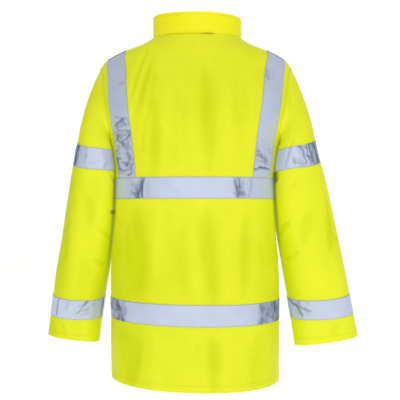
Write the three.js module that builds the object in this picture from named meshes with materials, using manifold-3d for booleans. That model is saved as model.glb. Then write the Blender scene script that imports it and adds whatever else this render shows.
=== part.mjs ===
// Hi-vis work jacket, standing open and hollow as if worn, built from its cut pieces.
// Millimetres, +Z up, +X the wearer's left, the front faces -Y.
// The origin is midway between the two side neck points, where the shoulders carry it.
import * as THREE from 'three';
import { mergeVertices } from 'three/addons/utils/BufferGeometryUtils.js';
import Module from 'manifold-3d';

const mix = (a, b, t) => a + (b - a) * t;
const clamp = (value, low, high) => Math.min(high, Math.max(low, value));
const ease = (t) => clamp(t, 0, 1) ** 2 * (3 - 2 * clamp(t, 0, 1));

// Walls and gaps
const CLOTH = 2;
const TAPE = 1;
const COLLAR_WALL = 2.6;
const SEAM_HALF = 0.2;
const BAND_GAP = 0.4;
const COLLAR_LIFT = 0.5;
const TAPE_LIFT = 0.35;

// Heights of the sewing lines, measured from the side neck point
const SHOULDER_TIP = -65;
const UNDERARM = -262;
const CHEST_TAPE_TOP = -348;
const CHEST_TAPE_FOOT = -398;
const HIP_TAPE_TOP = -642.5;
const HIP_TAPE_FOOT = -692.5;
const HEM = -844;
const HEM_TILT = 5;
const HEM_RISE = 10;
const TILT_START = -400;

// Neck and collar
const NECK_HALF = 110;
const NECK_DROP_BACK = 5;
const NECK_DROP_FRONT = 75;
const COLLAR_TOP = { back: 48, left: 53, right: 47.5, front: 8 };
const COLLAR_DEPTH = { back: 80, front: 71 };

// Zip
const ZIP_OPENING = 5;
const ZIP_TAPE_HALF = 11;
const ZIP_TAPE_WALL = 1.2;
const CHAIN_HALF = 3.5;
const CHAIN_SET_BACK = 0.4;
const ZIP_CLEAR = 0.5;
const ZIP_CLEAR_OF_COLLAR = 1;
const ZIP_SHORT = 5;

// Rings of the body from the neck down: height, half width, depth behind and before the
// shoulder line, squareness, and shift towards the wearer's left.
const BODY = [
  { z: 0, half: 110, back: 78, front: 60, square: 2.0, shift: -2 },
  { z: -10, half: 127, back: 81, front: 62, square: 2.0, shift: -1.5 },
  { z: -20, half: 147, back: 84, front: 64, square: 2.0, shift: -1 },
  { z: -33, half: 181, back: 89, front: 68, square: 2.0, shift: 0 },
  { z: -48, half: 211, back: 94, front: 72, square: 2.0, shift: 0.5 },
  { z: -65, half: 232, back: 99, front: 77, square: 2.0, shift: 1 },
  { z: -94, half: 234, back: 109, front: 88, square: 2.1, shift: 1.5 },
  { z: -130, half: 235, back: 120, front: 101, square: 2.3, shift: 2.5 },
  { z: -168, half: 233, back: 128, front: 114, square: 2.5, shift: 3 },
  { z: -200, half: 229, back: 133, front: 121, square: 2.5, shift: 4 },
  { z: -262, half: 208, back: 134, front: 127, square: 2.5, shift: 4.5 },
  { z: -348, half: 196.5, back: 134, front: 127, square: 2.6, shift: 5 },
  { z: -450, half: 198.5, back: 130, front: 122, square: 2.6, shift: 4 },
  { z: -560, half: 207, back: 133, front: 124, square: 2.6, shift: 4 },
  { z: -650, half: 208, back: 139, front: 129, square: 2.6, shift: 3 },
  { z: -870, half: 206, back: 140, front: 133, square: 2.6, shift: 3 },
];

// How far the armhole edge lies behind and before the shoulder line.
const ARMHOLE = [
  { z: -65, back: 0, front: 0 },
  { z: -75, back: 17, front: 16 },
  { z: -94, back: 31, front: 29 },
  { z: -130, back: 50, front: 46 },
  { z: -165, back: 63, front: 58 },
  { z: -200, back: 68, front: 62 },
  { z: -230, back: 63, front: 58 },
  { z: -248, back: 49, front: 46 },
  { z: -258, back: 28, front: 27 },
  { z: -262, back: 0, front: 0 },
];

// Lines down the yoke, as distances from the centre: the line under the side neck point and
// the two edges of the shoulder tape.
const LINES = [
  { z: 0, neck: 110, inner: 173, outer: 217 },
  { z: -48, neck: 108, inner: 171, outer: 217 },
  { z: -80, neck: 107, inner: 166, outer: 215 },
  { z: -168, neck: 103, inner: 157.5, outer: 206 },
  { z: -262, neck: 97, inner: 145, outer: 192 },
  { z: -348, neck: 91, inner: 136, outer: 181 },
];

// Levels of the sleeves: height of the ring's middle, and how much its outer side and its
// back rise above that. `rings` is the number of rings down to it from the level above.
const SLEEVE_LEVELS = {
  left: [
    { name: 'underarm', z: -258, outer: 14, back: -4, rings: 0 },
    { name: 'upperTop', z: -268, outer: 9, back: -9, rings: 1 },
    { name: 'upperFoot', z: -319, outer: 7, back: -9, rings: 1 },
    { name: 'elbow', z: -490, outer: 6, back: -9, rings: 5 },
    { name: 'lowerTop', z: -637.5, outer: 5, back: -9, rings: 4 },
    { name: 'lowerFoot', z: -688.5, outer: 5, back: -8, rings: 1 },
    { name: 'cuff', z: -751, outer: 10, back: 0, rings: 2 },
  ],
  right: [
    { name: 'underarm', z: -257, outer: 16, back: -3, rings: 0 },
    { name: 'upperTop', z: -266, outer: 14, back: -6, rings: 1 },
    { name: 'upperFoot', z: -319, outer: 13, back: -5, rings: 1 },
    { name: 'elbow', z: -490, outer: 9, back: -7, rings: 5 },
    { name: 'lowerTop', z: -636, outer: 6, back: -9, rings: 4 },
    { name: 'lowerFoot', z: -687, outer: 6, back: -7, rings: 1 },
    { name: 'cuff', z: -752, outer: 12, back: -2, rings: 2 },
  ],
};

// Level sections of the sleeves: distance of the middle from the centre plane, half width,
// half depth, how far the middle lies behind the shoulder line, and squareness.
const SLEEVE_SECTIONS = {
  left: [
    { z: -235, x: 241.5, half: 46, depth: 82, y: 3, square: 2.6 },
    { z: -290, x: 244.5, half: 51.5, depth: 87, y: 2, square: 2.9 },
    { z: -330, x: 246, half: 59, depth: 88, y: 0, square: 2.9 },
    { z: -410, x: 257, half: 63, depth: 84, y: -4, square: 2.6 },
    { z: -490, x: 269.5, half: 64.5, depth: 76, y: -8, square: 2.3 },
    { z: -570, x: 284, half: 66.5, depth: 67, y: -14, square: 2.2 },
    { z: -650, x: 298.5, half: 66, depth: 57, y: -28, square: 2.2 },
    { z: -738, x: 312.5, half: 67, depth: 45, y: -44, square: 2.2 },
    { z: -780, x: 318, half: 67, depth: 42, y: -50, square: 2.2 },
  ],
  right: [
    { z: -235, x: 240.5, half: 47, depth: 82, y: 3, square: 2.6 },
    { z: -290, x: 244, half: 54, depth: 86, y: 2, square: 2.9 },
    { z: -330, x: 246.5, half: 65.5, depth: 86, y: 0, square: 2.9 },
    { z: -410, x: 258.5, half: 74.5, depth: 79, y: -2, square: 2.7 },
    { z: -490, x: 275.5, half: 76.5, depth: 68, y: -4, square: 2.4 },
    { z: -570, x: 292, half: 78, depth: 58, y: -7, square: 2.3 },
    { z: -650, x: 307.5, half: 79, depth: 46, y: -11, square: 2.2 },
    { z: -738, x: 324, half: 81, depth: 34, y: -15, square: 2.2 },
    { z: -780, x: 331, half: 82, depth: 30, y: -17, square: 2.2 },
  ],
};

// The largest folds: soft troughs from a top point to a foot, on the back (+1) or front (-1).
const FOLDS = [
  { face: 1, topX: 100, topZ: -40, footX: 142, footZ: -235, width: 24, depth: 2.5 },
  { face: 1, topX: 98, topZ: -175, footX: 96, footZ: -330, width: 26, depth: 2.5 },
  { face: 1, topX: -26, topZ: -110, footX: -32, footZ: -335, width: 38, depth: 3 },
  { face: 1, topX: -100, topZ: -140, footX: -112, footZ: -325, width: 28, depth: 2 },
  { face: 1, topX: 128, topZ: -415, footX: 122, footZ: -630, width: 34, depth: 3.5 },
  { face: 1, topX: 56, topZ: -430, footX: 40, footZ: -600, width: 30, depth: 2 },
  { face: 1, topX: -38, topZ: -405, footX: -44, footZ: -630, width: 36, depth: 3.5 },
  { face: 1, topX: -120, topZ: -420, footX: -104, footZ: -610, width: 30, depth: 2.5 },
  { face: 1, topX: 132, topZ: -700, footX: 140, footZ: -815, width: 34, depth: 4 },
  { face: 1, topX: -46, topZ: -705, footX: -50, footZ: -820, width: 32, depth: 3 },
  { face: -1, topX: 104, topZ: -60, footX: 128, footZ: -250, width: 26, depth: 4 },
  { face: -1, topX: -104, topZ: -60, footX: -122, footZ: -270, width: 26, depth: 4 },
  { face: -1, topX: 70, topZ: -180, footX: 62, footZ: -335, width: 28, depth: 4 },
  { face: -1, topX: -74, topZ: -160, footX: -60, footZ: -330, width: 30, depth: 3 },
  { face: -1, topX: 110, topZ: -420, footX: 96, footZ: -625, width: 34, depth: 5 },
  { face: -1, topX: -92, topZ: -410, footX: -106, footZ: -620, width: 32, depth: 5 },
  { face: -1, topX: 84, topZ: -705, footX: 92, footZ: -820, width: 32, depth: 4 },
  { face: -1, topX: -110, topZ: -700, footX: -100, footZ: -815, width: 32, depth: 4 },
];

// Columns counted out from the centre, and rows counted down from the neck and shoulder
const NECK_COLUMN = 5;
const INNER_COLUMN = 8;
const OUTER_COLUMN = 10;
const EDGE_COLUMN = 13;
const YOKE_ROWS = 10;
const BODY_LEVELS = [
  { z: CHEST_TAPE_TOP, rows: 3 },
  { z: CHEST_TAPE_FOOT, rows: 1 },
  { z: HIP_TAPE_TOP, rows: 8 },
  { z: HIP_TAPE_FOOT, rows: 1 },
  { z: HEM, rows: 5 },
];
const CHEST_ROW = YOKE_ROWS + 3;
const HIP_ROW = CHEST_ROW + 1 + 8;
const CAP_RINGS = 6;
const SLEEVE_COLUMNS = 2 * YOKE_ROWS;
const COLLAR_ROWS = 3;
const FADE_CELLS = 3;

// Below the shoulder a column settles onto its line within this drop, and the columns by the
// armhole turn from even steps across to even steps round the body from this height down.
const SETTLE_DROP = 60;
const ROUND_FROM = mix(SHOULDER_TIP, UNDERARM, 0.4);
const CROWDING = 1.4;

// How the sleeve cap turns from the armhole down to the sleeve, and how close it may lie
const CAP = {
  turnAtTip: 0.2,
  turnUnder: 0.7,
  spread: 1.3,
  reachAtTip: 0.2,
  reachUnder: 0.33,
  reachAtRing: 0.4,
  glance: 4,
};
const SLEEVE_CLEAR = 4.5;
const PRESS_SOFTNESS = 5;

// Zip slider and pull tab. Lifts are out from the collar's face.
const SLIDER = {
  halfWidth: 4.4,
  halfHeight: 6.5,
  corner: 1.6,
  wall: 2.2,
  lift: 0.4,
  archOuter: 3,
  archInner: 1.7,
  archWidth: 2.2,
  archSegments: 16,
  hingeOut: 4.5,
  share: 0.6,
};
const PULL = {
  halfWidth: 3.6,
  length: 27,
  corner: 1.5,
  thickness: 1.2,
  barHalf: 0.8,
  windowHalf: 1.75,
  windowFoot: 3.9,
};

// Finishes
const YELLOW = new THREE.MeshStandardMaterial({ color: 0xe6ec32, roughness: 0.62, metalness: 0 });
const SILVER = new THREE.MeshStandardMaterial({ color: 0xc4cbda, roughness: 0.38, metalness: 0.2 });
const ZIP_PLASTIC = new THREE.MeshStandardMaterial({ color: 0xd8de2c, roughness: 0.5 });
const ZIP_METAL = new THREE.MeshStandardMaterial({ color: 0x8d9094, roughness: 0.35, metalness: 1 });

// Smooth value of one column of a table whose heights go down.
function read(table, column, z) {
  const last = table.length - 1;
  const height = clamp(z, table[last].z, table[0].z);
  let k = 0;
  while (k < last - 1 && table[k + 1].z > height) k += 1;
  const slope = (i) => {
    const before = Math.max(0, i - 1);
    const after = Math.min(last, i + 1);
    return (table[after][column] - table[before][column]) / (table[after].z - table[before].z);
  };
  const span = table[k + 1].z - table[k].z;
  const t = (height - table[k].z) / span;
  const rise = slope(k) * span;
  const fall = slope(k + 1) * span;
  const a = table[k][column];
  const b = table[k + 1][column];
  return a + rise * t + (3 * (b - a) - 2 * rise - fall) * t ** 2 + (rise + fall - 2 * (b - a)) * t ** 3;
}

function ring(z, face) {
  return {
    half: read(BODY, 'half', z),
    depth: read(BODY, face > 0 ? 'back' : 'front', z),
    square: read(BODY, 'square', z),
    shift: read(BODY, 'shift', z),
  };
}

// How far one half axis of a ring goes where the other coordinate is known.
const across = (reach, other, otherReach, square) =>
  reach * (1 - Math.min(1, Math.abs(other) / otherReach) ** square) ** (1 / square);

// Height at which the shoulder line is as wide as x.
function shoulderHeight(x) {
  let high = 0;
  let low = SHOULDER_TIP;
  for (let step = 0; step < 40; step += 1) {
    const middle = (high + low) / 2;
    if (read(BODY, 'half', middle) < x) high = middle;
    else low = middle;
  }
  return (high + low) / 2;
}

function bodyNormal(x, y, z) {
  const face = y < 0 ? -1 : 1;
  const level = (height) => {
    const { half, depth, square, shift } = ring(height, face);
    return (Math.abs(x - shift) / half) ** square + (Math.abs(y) / depth) ** square;
  };
  const { half, depth, square, shift } = ring(z, face);
  const side = (distance, reach) =>
    (square * Math.sign(distance) * (Math.abs(distance) / reach) ** (square - 1)) / reach;
  const nx = side(x - shift, half);
  const ny = side(y, depth);
  const nz = level(z + 0.5) - level(z - 0.5);
  return new THREE.Vector3(nx, ny, nz).normalize();
}

// Depth of the soft troughs at a place on the back or front.
function trough(face, x, z) {
  let depth = 0;
  for (const fold of FOLDS) {
    if (fold.face === face) {
      const runX = fold.footX - fold.topX;
      const runZ = fold.footZ - fold.topZ;
      const along = clamp(
        ((x - fold.topX) * runX + (z - fold.topZ) * runZ) / (runX ** 2 + runZ ** 2), 0, 1);
      const away = Math.hypot(x - fold.topX - along * runX, z - fold.topZ - along * runZ);
      depth += fold.depth * (1 - ease(away / fold.width)) * Math.sin(Math.PI * mix(0.12, 0.88, along));
    }
  }
  return depth;
}

// Distance from the centre of the armhole edge, or of the side seam below it.
function edgeX(face, z) {
  const { half, depth, square } = ring(z, face);
  const y = z > UNDERARM ? read(ARMHOLE, face > 0 ? 'back' : 'front', z) : 0;
  return across(half, y, depth, square);
}

const KNOTS = [0, NECK_COLUMN, INNER_COLUMN, OUTER_COLUMN, EDGE_COLUMN];

// Distance from the centre of a column at a height.
function columnX(face, column, z) {
  const { half, square } = ring(z, face);
  const centre = face > 0 ? 0 : ZIP_OPENING;
  const lines = [
    centre,
    read(LINES, 'neck', z),
    read(LINES, 'inner', z),
    read(LINES, 'outer', z),
    edgeX(face, z),
  ];
  let k = 0;
  while (k < 3 && KNOTS[k + 1] < column) k += 1;
  const t = (column - KNOTS[k]) / (KNOTS[k + 1] - KNOTS[k]);
  const straight = mix(lines[k], lines[k + 1], t);
  const angle = (x) => Math.asin(Math.min(1, x / half) ** (square / 2));
  const round = half * Math.sin(mix(angle(lines[k]), angle(lines[k + 1]), t)) ** (2 / square);
  const below = k === 3 ? ease((ROUND_FROM - z) / (ROUND_FROM - UNDERARM)) : 0;
  return mix(straight, round, below);
}

// Distance and height of the top of a column, on the neckline or on the shoulder seam.
function columnTop(face, column) {
  if (column <= NECK_COLUMN) {
    const turn = (Math.PI / 2) * (column / NECK_COLUMN);
    const centre = face > 0 ? 0 : ZIP_OPENING;
    const drop = face > 0 ? NECK_DROP_BACK : NECK_DROP_FRONT;
    const power = face > 0 ? 2 : 3;
    return {
      x: mix(centre, NECK_HALF, Math.sin(turn)),
      z: -drop * Math.cos(turn) ** power,
    };
  }
  let z = SHOULDER_TIP / 2;
  for (let step = 0; step < 12; step += 1) {
    z = shoulderHeight(shoulderX(column, z));
  }
  return { x: shoulderX(column, z), z };
}

// Distance of a shoulder column from the centre, above the shoulder tip.
function shoulderX(column, z) {
  const lines = [
    read(LINES, 'neck', 0),
    read(LINES, 'inner', z),
    read(LINES, 'outer', z),
    read(BODY, 'half', SHOULDER_TIP),
  ];
  let k = 0;
  while (k < 2 && KNOTS[k + 2] < column) k += 1;
  return mix(lines[k], lines[k + 1], (column - KNOTS[k + 1]) / (KNOTS[k + 2] - KNOTS[k + 1]));
}

const TOPS = new Map();
function topOf(face, column) {
  const key = `${face} ${column}`;
  if (!TOPS.has(key)) TOPS.set(key, columnTop(face, column));
  return TOPS.get(key);
}

// Heights of the rows below the underarm
const LOWER_ROWS = [];
BODY_LEVELS.reduce((above, level) => {
  for (let row = 1; row <= level.rows; row += 1) {
    LOWER_ROWS.push(mix(above, level.z, row / level.rows));
  }
  return level.z;
}, UNDERARM);
const LAST_ROW = YOKE_ROWS + LOWER_ROWS.length;

// A point on the outer face of the back (+1) or front (-1), left (+1) or right (-1) of the
// centre, with the cloth's normal there.
function bodyPoint(face, { side, column }, row) {
  let x;
  let z;
  if (row <= YOKE_ROWS) {
    const top = topOf(face, column);
    const t = row / YOKE_ROWS;
    const even = (1 - Math.cos(Math.PI * t)) / 2;
    const share = column === EDGE_COLUMN ? even : mix(t ** CROWDING, even, 0.5);
    z = mix(top.z, UNDERARM, share);
    const settle = ease((top.z - z) / SETTLE_DROP);
    x = mix(top.x, columnX(face, column, z), settle);
    if (column === EDGE_COLUMN) x = edgeX(face, z);
  } else {
    z = LOWER_ROWS[row - YOKE_ROWS - 1];
    const level = Math.max(z, CHEST_TAPE_TOP);
    const bound = ring(level, face);
    const here = ring(z, face);
    const centre = face > 0 ? 0 : ZIP_OPENING;
    const share = (columnX(face, column, level) - centre) / (bound.half - centre);
    x = mix(centre, here.half, share);
  }
  const { half, depth, square, shift } = ring(z, face);
  const y = face * across(depth, Math.min(x, half), half, square);
  const lean = clamp((TILT_START - z) / (TILT_START - HEM), 0, 1);
  const tilt = lean * ((HEM_TILT * side * x) / half + HEM_RISE * (x / half) ** 2);
  const point = new THREE.Vector3(shift + side * x, y, z);
  const normal = bodyNormal(point.x, point.y || face * 0.001, z);
  const fade = ease((EDGE_COLUMN - column) / FADE_CELLS) * ease(row / FADE_CELLS);
  point.addScaledVector(normal, -fade * trough(face, side * x, z));
  point.y += face * SEAM_HALF;
  point.z += tilt;
  return { point, normal };
}

// A closed wall from rows of points: each has a place, a normal, and may say that its
// diagonal turns the other way. `around` joins the last column to the first.
function wall(rows, inner, outer, around = false) {
  const height = rows.length;
  const width = rows[0].length;
  const positions = [];
  for (const lift of [outer, inner]) {
    for (const row of rows) {
      for (const { point, normal } of row) {
        positions.push(...point.clone().addScaledVector(normal, lift).toArray());
      }
    }
  }
  const face = height * width;
  const at = (r, c) => r * width + (c % width);
  const triangles = [];
  const quad = (a, b, c, d) => triangles.push(a, b, c, a, c, d);
  const cells = around ? width : width - 1;
  for (let r = 0; r < height - 1; r += 1) {
    for (let c = 0; c < cells; c += 1) {
      const corners = [at(r, c), at(r + 1, c), at(r + 1, c + 1), at(r, c + 1)];
      if (rows[r][0].turned) corners.push(corners.shift());
      const [p, q, s, t] = corners;
      quad(p, q, s, t);
      triangles.push(p + face, s + face, q + face, p + face, t + face, s + face);
    }
  }
  for (let c = 0; c < cells; c += 1) {
    const foot = height - 1;
    quad(at(0, c + 1), at(0, c + 1) + face, at(0, c) + face, at(0, c));
    quad(at(foot, c), at(foot, c) + face, at(foot, c + 1) + face, at(foot, c + 1));
  }
  if (!around) {
    const side = width - 1;
    for (let r = 0; r < height - 1; r += 1) {
      quad(at(r, 0), at(r, 0) + face, at(r + 1, 0) + face, at(r + 1, 0));
      quad(at(r + 1, side), at(r + 1, side) + face, at(r, side) + face, at(r, side));
    }
  }
  return closedGeometry(positions, triangles);
}

// A geometry whose faces point out, whichever way round its triangles were listed.
function closedGeometry(positions, triangles) {
  const corner = (i) => new THREE.Vector3().fromArray(positions, 3 * i);
  let volume = 0;
  for (let i = 0; i < triangles.length; i += 3) {
    const [a, b, c] = [corner(triangles[i]), corner(triangles[i + 1]), corner(triangles[i + 2])];
    volume += a.dot(b.cross(c));
  }
  if (volume < 0) triangles.reverse();
  const geometry = new THREE.BufferGeometry();
  geometry.setAttribute('position', new THREE.Float32BufferAttribute(positions, 3));
  geometry.setIndex(triangles);
  geometry.computeVertexNormals();
  return geometry;
}

const jacket = new THREE.Group();
function add(name, geometry, material) {
  const mesh = new THREE.Mesh(geometry, material);
  mesh.name = name;
  jacket.add(mesh);
  return mesh;
}

// Cells of a panel, from the wearer's right to the left
const count = (from, to) => Array.from({ length: to - from + 1 }, (_, i) => from + i);
const leftCells = (from, to) => count(from, to).map((column) => ({ side: 1, column }));
const rightCells = (from, to) => count(from, to).reverse().map((column) => ({ side: -1, column }));
const sideCells = (side, from, to) => (side > 0 ? leftCells(from, to) : rightCells(from, to));
const bodyRows = (face, cells, fromRow, toRow) =>
  count(fromRow, toRow).map((row) => cells.map((cell) => bodyPoint(face, cell, row)));

const SIDES = [{ name: 'left', side: 1 }, { name: 'right', side: -1 }];
const BACK_CELLS = [...rightCells(1, EDGE_COLUMN), ...leftCells(0, EDGE_COLUMN)];

// Back and fronts
add('back', wall(bodyRows(1, BACK_CELLS, 0, LAST_ROW), -CLOTH, 0), YELLOW);
for (const { name, side } of SIDES) {
  const cells = sideCells(side, 0, EDGE_COLUMN);
  add(`front_${name}`, wall(bodyRows(-1, cells, 0, LAST_ROW), -CLOTH, 0), YELLOW);
}

// Reflective bands round the body, each cut at the side seams and at the zip
const tapeWall = (rows, around = false) => wall(rows, TAPE_LIFT, TAPE_LIFT + TAPE, around);
for (const [name, row] of [['chest', CHEST_ROW], ['hip', HIP_ROW]]) {
  add(`${name}_tape_back`, tapeWall(bodyRows(1, BACK_CELLS, row, row + 1)), SILVER);
  for (const { name: hand, side } of SIDES) {
    const cells = sideCells(side, 0, EDGE_COLUMN);
    add(`${name}_tape_front_${hand}`, tapeWall(bodyRows(-1, cells, row, row + 1)), SILVER);
  }
}

// Moves the last row of points back towards the row before it.
function shorten(rows, gap) {
  const last = rows[rows.length - 1];
  const before = rows[rows.length - 2];
  last.forEach(({ point }, i) => {
    point.lerp(before[i].point, gap / point.distanceTo(before[i].point));
  });
  return rows;
}

// One tape over each shoulder, from the chest band behind to the chest band in front
for (const { name, side } of SIDES) {
  const cells = sideCells(side, INNER_COLUMN, OUTER_COLUMN);
  const behind = shorten(bodyRows(1, cells, 0, CHEST_ROW), BAND_GAP);
  const before = shorten(bodyRows(-1, cells, 0, CHEST_ROW), BAND_GAP);
  const turned = behind.reverse().map((row) => row.map((spot) => ({ ...spot, turned: true })));
  add(`brace_${name}`, tapeWall([...turned, ...before]), SILVER);
}

// Sleeves are worked out as a left one, with distances from the centre plane, then mirrored.
const mirror = (point, side) => new THREE.Vector3(side * point.x, point.y, point.z);

function sleeveSurface(hand, angle, z) {
  const table = SLEEVE_SECTIONS[hand];
  const power = 2 / read(table, 'square', z);
  const reach = (value) => Math.sign(value) * Math.abs(value) ** power;
  return new THREE.Vector3(
    read(table, 'x', z) + read(table, 'half', z) * reach(Math.cos(angle)),
    read(table, 'y', z) + read(table, 'depth', z) * reach(Math.sin(angle)),
    z,
  );
}

// Keeps a sleeve point outside the body by a gap, where the body has cloth.
function clearOfBody(point, side, gap) {
  const face = point.y < 0 ? -1 : 1;
  const { half, depth, square, shift } = ring(point.z, face);
  const armhole = read(ARMHOLE, face > 0 ? 'back' : 'front', point.z);
  const bare = point.z > UNDERARM && Math.abs(point.y) < armhole;
  if (bare || Math.abs(point.y) >= depth + gap) return point;
  const limit = across(half + gap, point.y, depth + gap, square) + side * shift;
  const away = point.x - limit;
  point.x = limit + (away + Math.hypot(away, PRESS_SOFTNESS)) / 2;
  return point;
}

// From the armhole edge out and down to the first ring below the underarm. Columns count
// from the shoulder tip down the back, under the arm and up the front.
function capCurve(side, k, end, below) {
  const face = k <= YOKE_ROWS ? 1 : -1;
  const row = k <= YOKE_ROWS ? k : SLEEVE_COLUMNS - k;
  const spot = (column, at) => {
    const { point, normal } = bodyPoint(face, { side, column }, clamp(at, 0, YOKE_ROWS));
    return { point: mirror(point, side), normal: mirror(normal, side) };
  };
  const { point, normal } = spot(EDGE_COLUMN, row);
  const run = spot(EDGE_COLUMN, row + 1).point.sub(spot(EDGE_COLUMN, row - 1).point);
  const leave = run.cross(normal).normalize();
  if (leave.dot(spot(OUTER_COLUMN, row).point.sub(point)) > 0) leave.negate();
  if (row === 0) leave.crossVectors(new THREE.Vector3(0, 1, 0), normal);
  if (row === YOKE_ROWS) leave.set(0, 0, 1);
  if (row === 0 || row === YOKE_ROWS) point.y = 0;
  const start = point.addScaledVector(normal, TAPE_LIFT).addScaledVector(leave, TAPE_LIFT);
  const span = end.clone().sub(start);
  const length = span.length();
  const under = Math.sin((Math.PI * k) / SLEEVE_COLUMNS);
  const aim = new THREE.Vector3(CAP.spread, 0, 0).addScaledVector(span.normalize(), 1).normalize();
  leave.lerp(aim, mix(CAP.turnAtTip, CAP.turnUnder, under)).normalize();
  const arrive = below.clone().sub(end).normalize();
  return new THREE.CubicBezierCurve3(
    start,
    start.clone().addScaledVector(leave, length * mix(CAP.reachAtTip, CAP.reachUnder, under)),
    end.clone().addScaledVector(arrive, -length * CAP.reachAtRing),
    end,
  );
}

// Rings of a sleeve from the armhole to the cuff, and the row of each named level
function sleeveRings(hand, side) {
  const levels = SLEEVE_LEVELS[hand];
  const angles = count(0, SLEEVE_COLUMNS - 1).map((k) => (2 * Math.PI * k) / SLEEVE_COLUMNS);
  const levelPoint = (level, angle, drop = 0) => {
    const z = level.z + level.outer * Math.cos(angle) + level.back * Math.sin(angle) - drop;
    return clearOfBody(sleeveSurface(hand, angle, z), side, SLEEVE_CLEAR);
  };
  const curves = angles.map((angle, k) =>
    capCurve(side, k, levelPoint(levels[0], angle), levelPoint(levels[0], angle, CAP.glance)));
  const rings = [];
  for (let r = 0; r <= CAP_RINGS; r += 1) {
    const t = r / CAP_RINGS;
    const gap = mix(TAPE_LIFT, SLEEVE_CLEAR, ease(t));
    const inside = r > 0 && r < CAP_RINGS;
    rings.push(curves.map((curve) => {
      const point = curve.getPoint(t);
      return inside ? clearOfBody(point, side, gap) : point;
    }));
  }
  const rowOf = {};
  for (let i = 1; i < levels.length; i += 1) {
    for (let r = 1; r <= levels[i].rings; r += 1) {
      const t = r / levels[i].rings;
      const between = (key) => mix(levels[i - 1][key], levels[i][key], t);
      const level = { z: between('z'), outer: between('outer'), back: between('back') };
      rings.push(angles.map((angle) => levelPoint(level, angle)));
    }
    rowOf[levels[i].name] = rings.length - 1;
  }
  const world = rings.map((line) => line.map((point) => mirror(point, side)));
  return { rings: withNormals(world, true), rowOf };
}

// Adds to a grid of points the normal of the surface through them, away from each row's middle.
function withNormals(grid, around) {
  const width = grid[0].length;
  return grid.map((line, r) => {
    const middle = line.reduce((sum, point) => sum.add(point), new THREE.Vector3());
    middle.divideScalar(width);
    return line.map((point, c) => {
      const before = around ? (c + width - 1) % width : Math.max(0, c - 1);
      const after = around ? (c + 1) % width : Math.min(width - 1, c + 1);
      const along = line[after].clone().sub(line[before]);
      const down = grid[Math.min(grid.length - 1, r + 1)][c].clone().sub(grid[Math.max(0, r - 1)][c]);
      const normal = along.cross(down).normalize();
      if (normal.dot(point.clone().sub(middle)) < 0) normal.negate();
      return { point, normal };
    });
  });
}

for (const { name, side } of SIDES) {
  const { rings, rowOf } = sleeveRings(name, side);
  add(`sleeve_${name}`, wall(rings, -CLOTH, 0, true), YELLOW);
  for (const band of ['upper', 'lower']) {
    const rows = rings.slice(rowOf[`${band}Top`], rowOf[`${band}Foot`] + 1);
    add(`${band}_tape_${name}`, tapeWall(rows, true), SILVER);
  }
}

// Collar, standing on the neckline from one zip edge round the back to the other
const NECK_CELLS = [
  ...count(0, NECK_COLUMN).map((column) => ({ face: -1, side: -1, column })),
  ...count(1, NECK_COLUMN).reverse().slice(1).map((column) => ({ face: 1, side: -1, column })),
  ...count(0, NECK_COLUMN).map((column) => ({ face: 1, side: 1, column })),
  ...count(0, NECK_COLUMN).reverse().slice(1).map((column) => ({ face: -1, side: 1, column })),
];

function collarRim({ face, side, column }) {
  const turn = (Math.PI / 2) * (column / NECK_COLUMN);
  const atSide = side > 0 ? COLLAR_TOP.left : COLLAR_TOP.right;
  const atMiddle = face > 0 ? COLLAR_TOP.back : COLLAR_TOP.front;
  const depth = face > 0 ? COLLAR_DEPTH.back : COLLAR_DEPTH.front;
  const centre = face > 0 ? 0 : ZIP_OPENING;
  return new THREE.Vector3(
    read(BODY, 'shift', 0) + side * mix(centre, NECK_HALF, Math.sin(turn)),
    face * depth * Math.cos(turn),
    mix(atSide, atMiddle, Math.cos(turn) ** 2),
  );
}

const collarGrid = count(0, COLLAR_ROWS).map((row) => NECK_CELLS.map((cell) => {
  const foot = bodyPoint(cell.face, cell, 0).point;
  if (cell.column === NECK_COLUMN) foot.y = 0;
  foot.z += COLLAR_LIFT;
  return foot.lerp(collarRim(cell), row / COLLAR_ROWS);
}));
const collarRows = withNormals(collarGrid, false);
add('collar', wall(collarRows, -COLLAR_WALL, 0), YELLOW);

// Zip, on one path from the hem up the fronts and the collar
const middleOf = (a, b, cloth) => ({
  point: a.point.clone().add(b.point).divideScalar(2),
  normal: a.normal.clone().add(b.normal).setX(0).normalize(),
  cloth,
});
const zipPath = count(0, LAST_ROW).reverse().map((row) => middleOf(
  bodyPoint(-1, { side: 1, column: 0 }, row),
  bodyPoint(-1, { side: -1, column: 0 }, row),
  row ? CLOTH : COLLAR_WALL + ZIP_CLEAR_OF_COLLAR,
));
const collarFront = collarRows.map((line) =>
  middleOf(line[0], line[line.length - 1], COLLAR_WALL + ZIP_CLEAR_OF_COLLAR - ZIP_CLEAR));
zipPath.push(...collarFront.slice(1));
zipPath[0].point.z += ZIP_SHORT;
zipPath[zipPath.length - 1].point.z -= ZIP_SHORT;

// Section of the zip at a place on its path: distance across, and in from the outer face.
const zipSection = (cloth) => {
  const front = cloth + ZIP_CLEAR;
  return [
    [-ZIP_TAPE_HALF, front], [-CHAIN_HALF, front], [-CHAIN_HALF, CHAIN_SET_BACK],
    [CHAIN_HALF, CHAIN_SET_BACK], [CHAIN_HALF, front], [ZIP_TAPE_HALF, front],
    [ZIP_TAPE_HALF, front + ZIP_TAPE_WALL], [-ZIP_TAPE_HALF, front + ZIP_TAPE_WALL],
  ];
};

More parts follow.
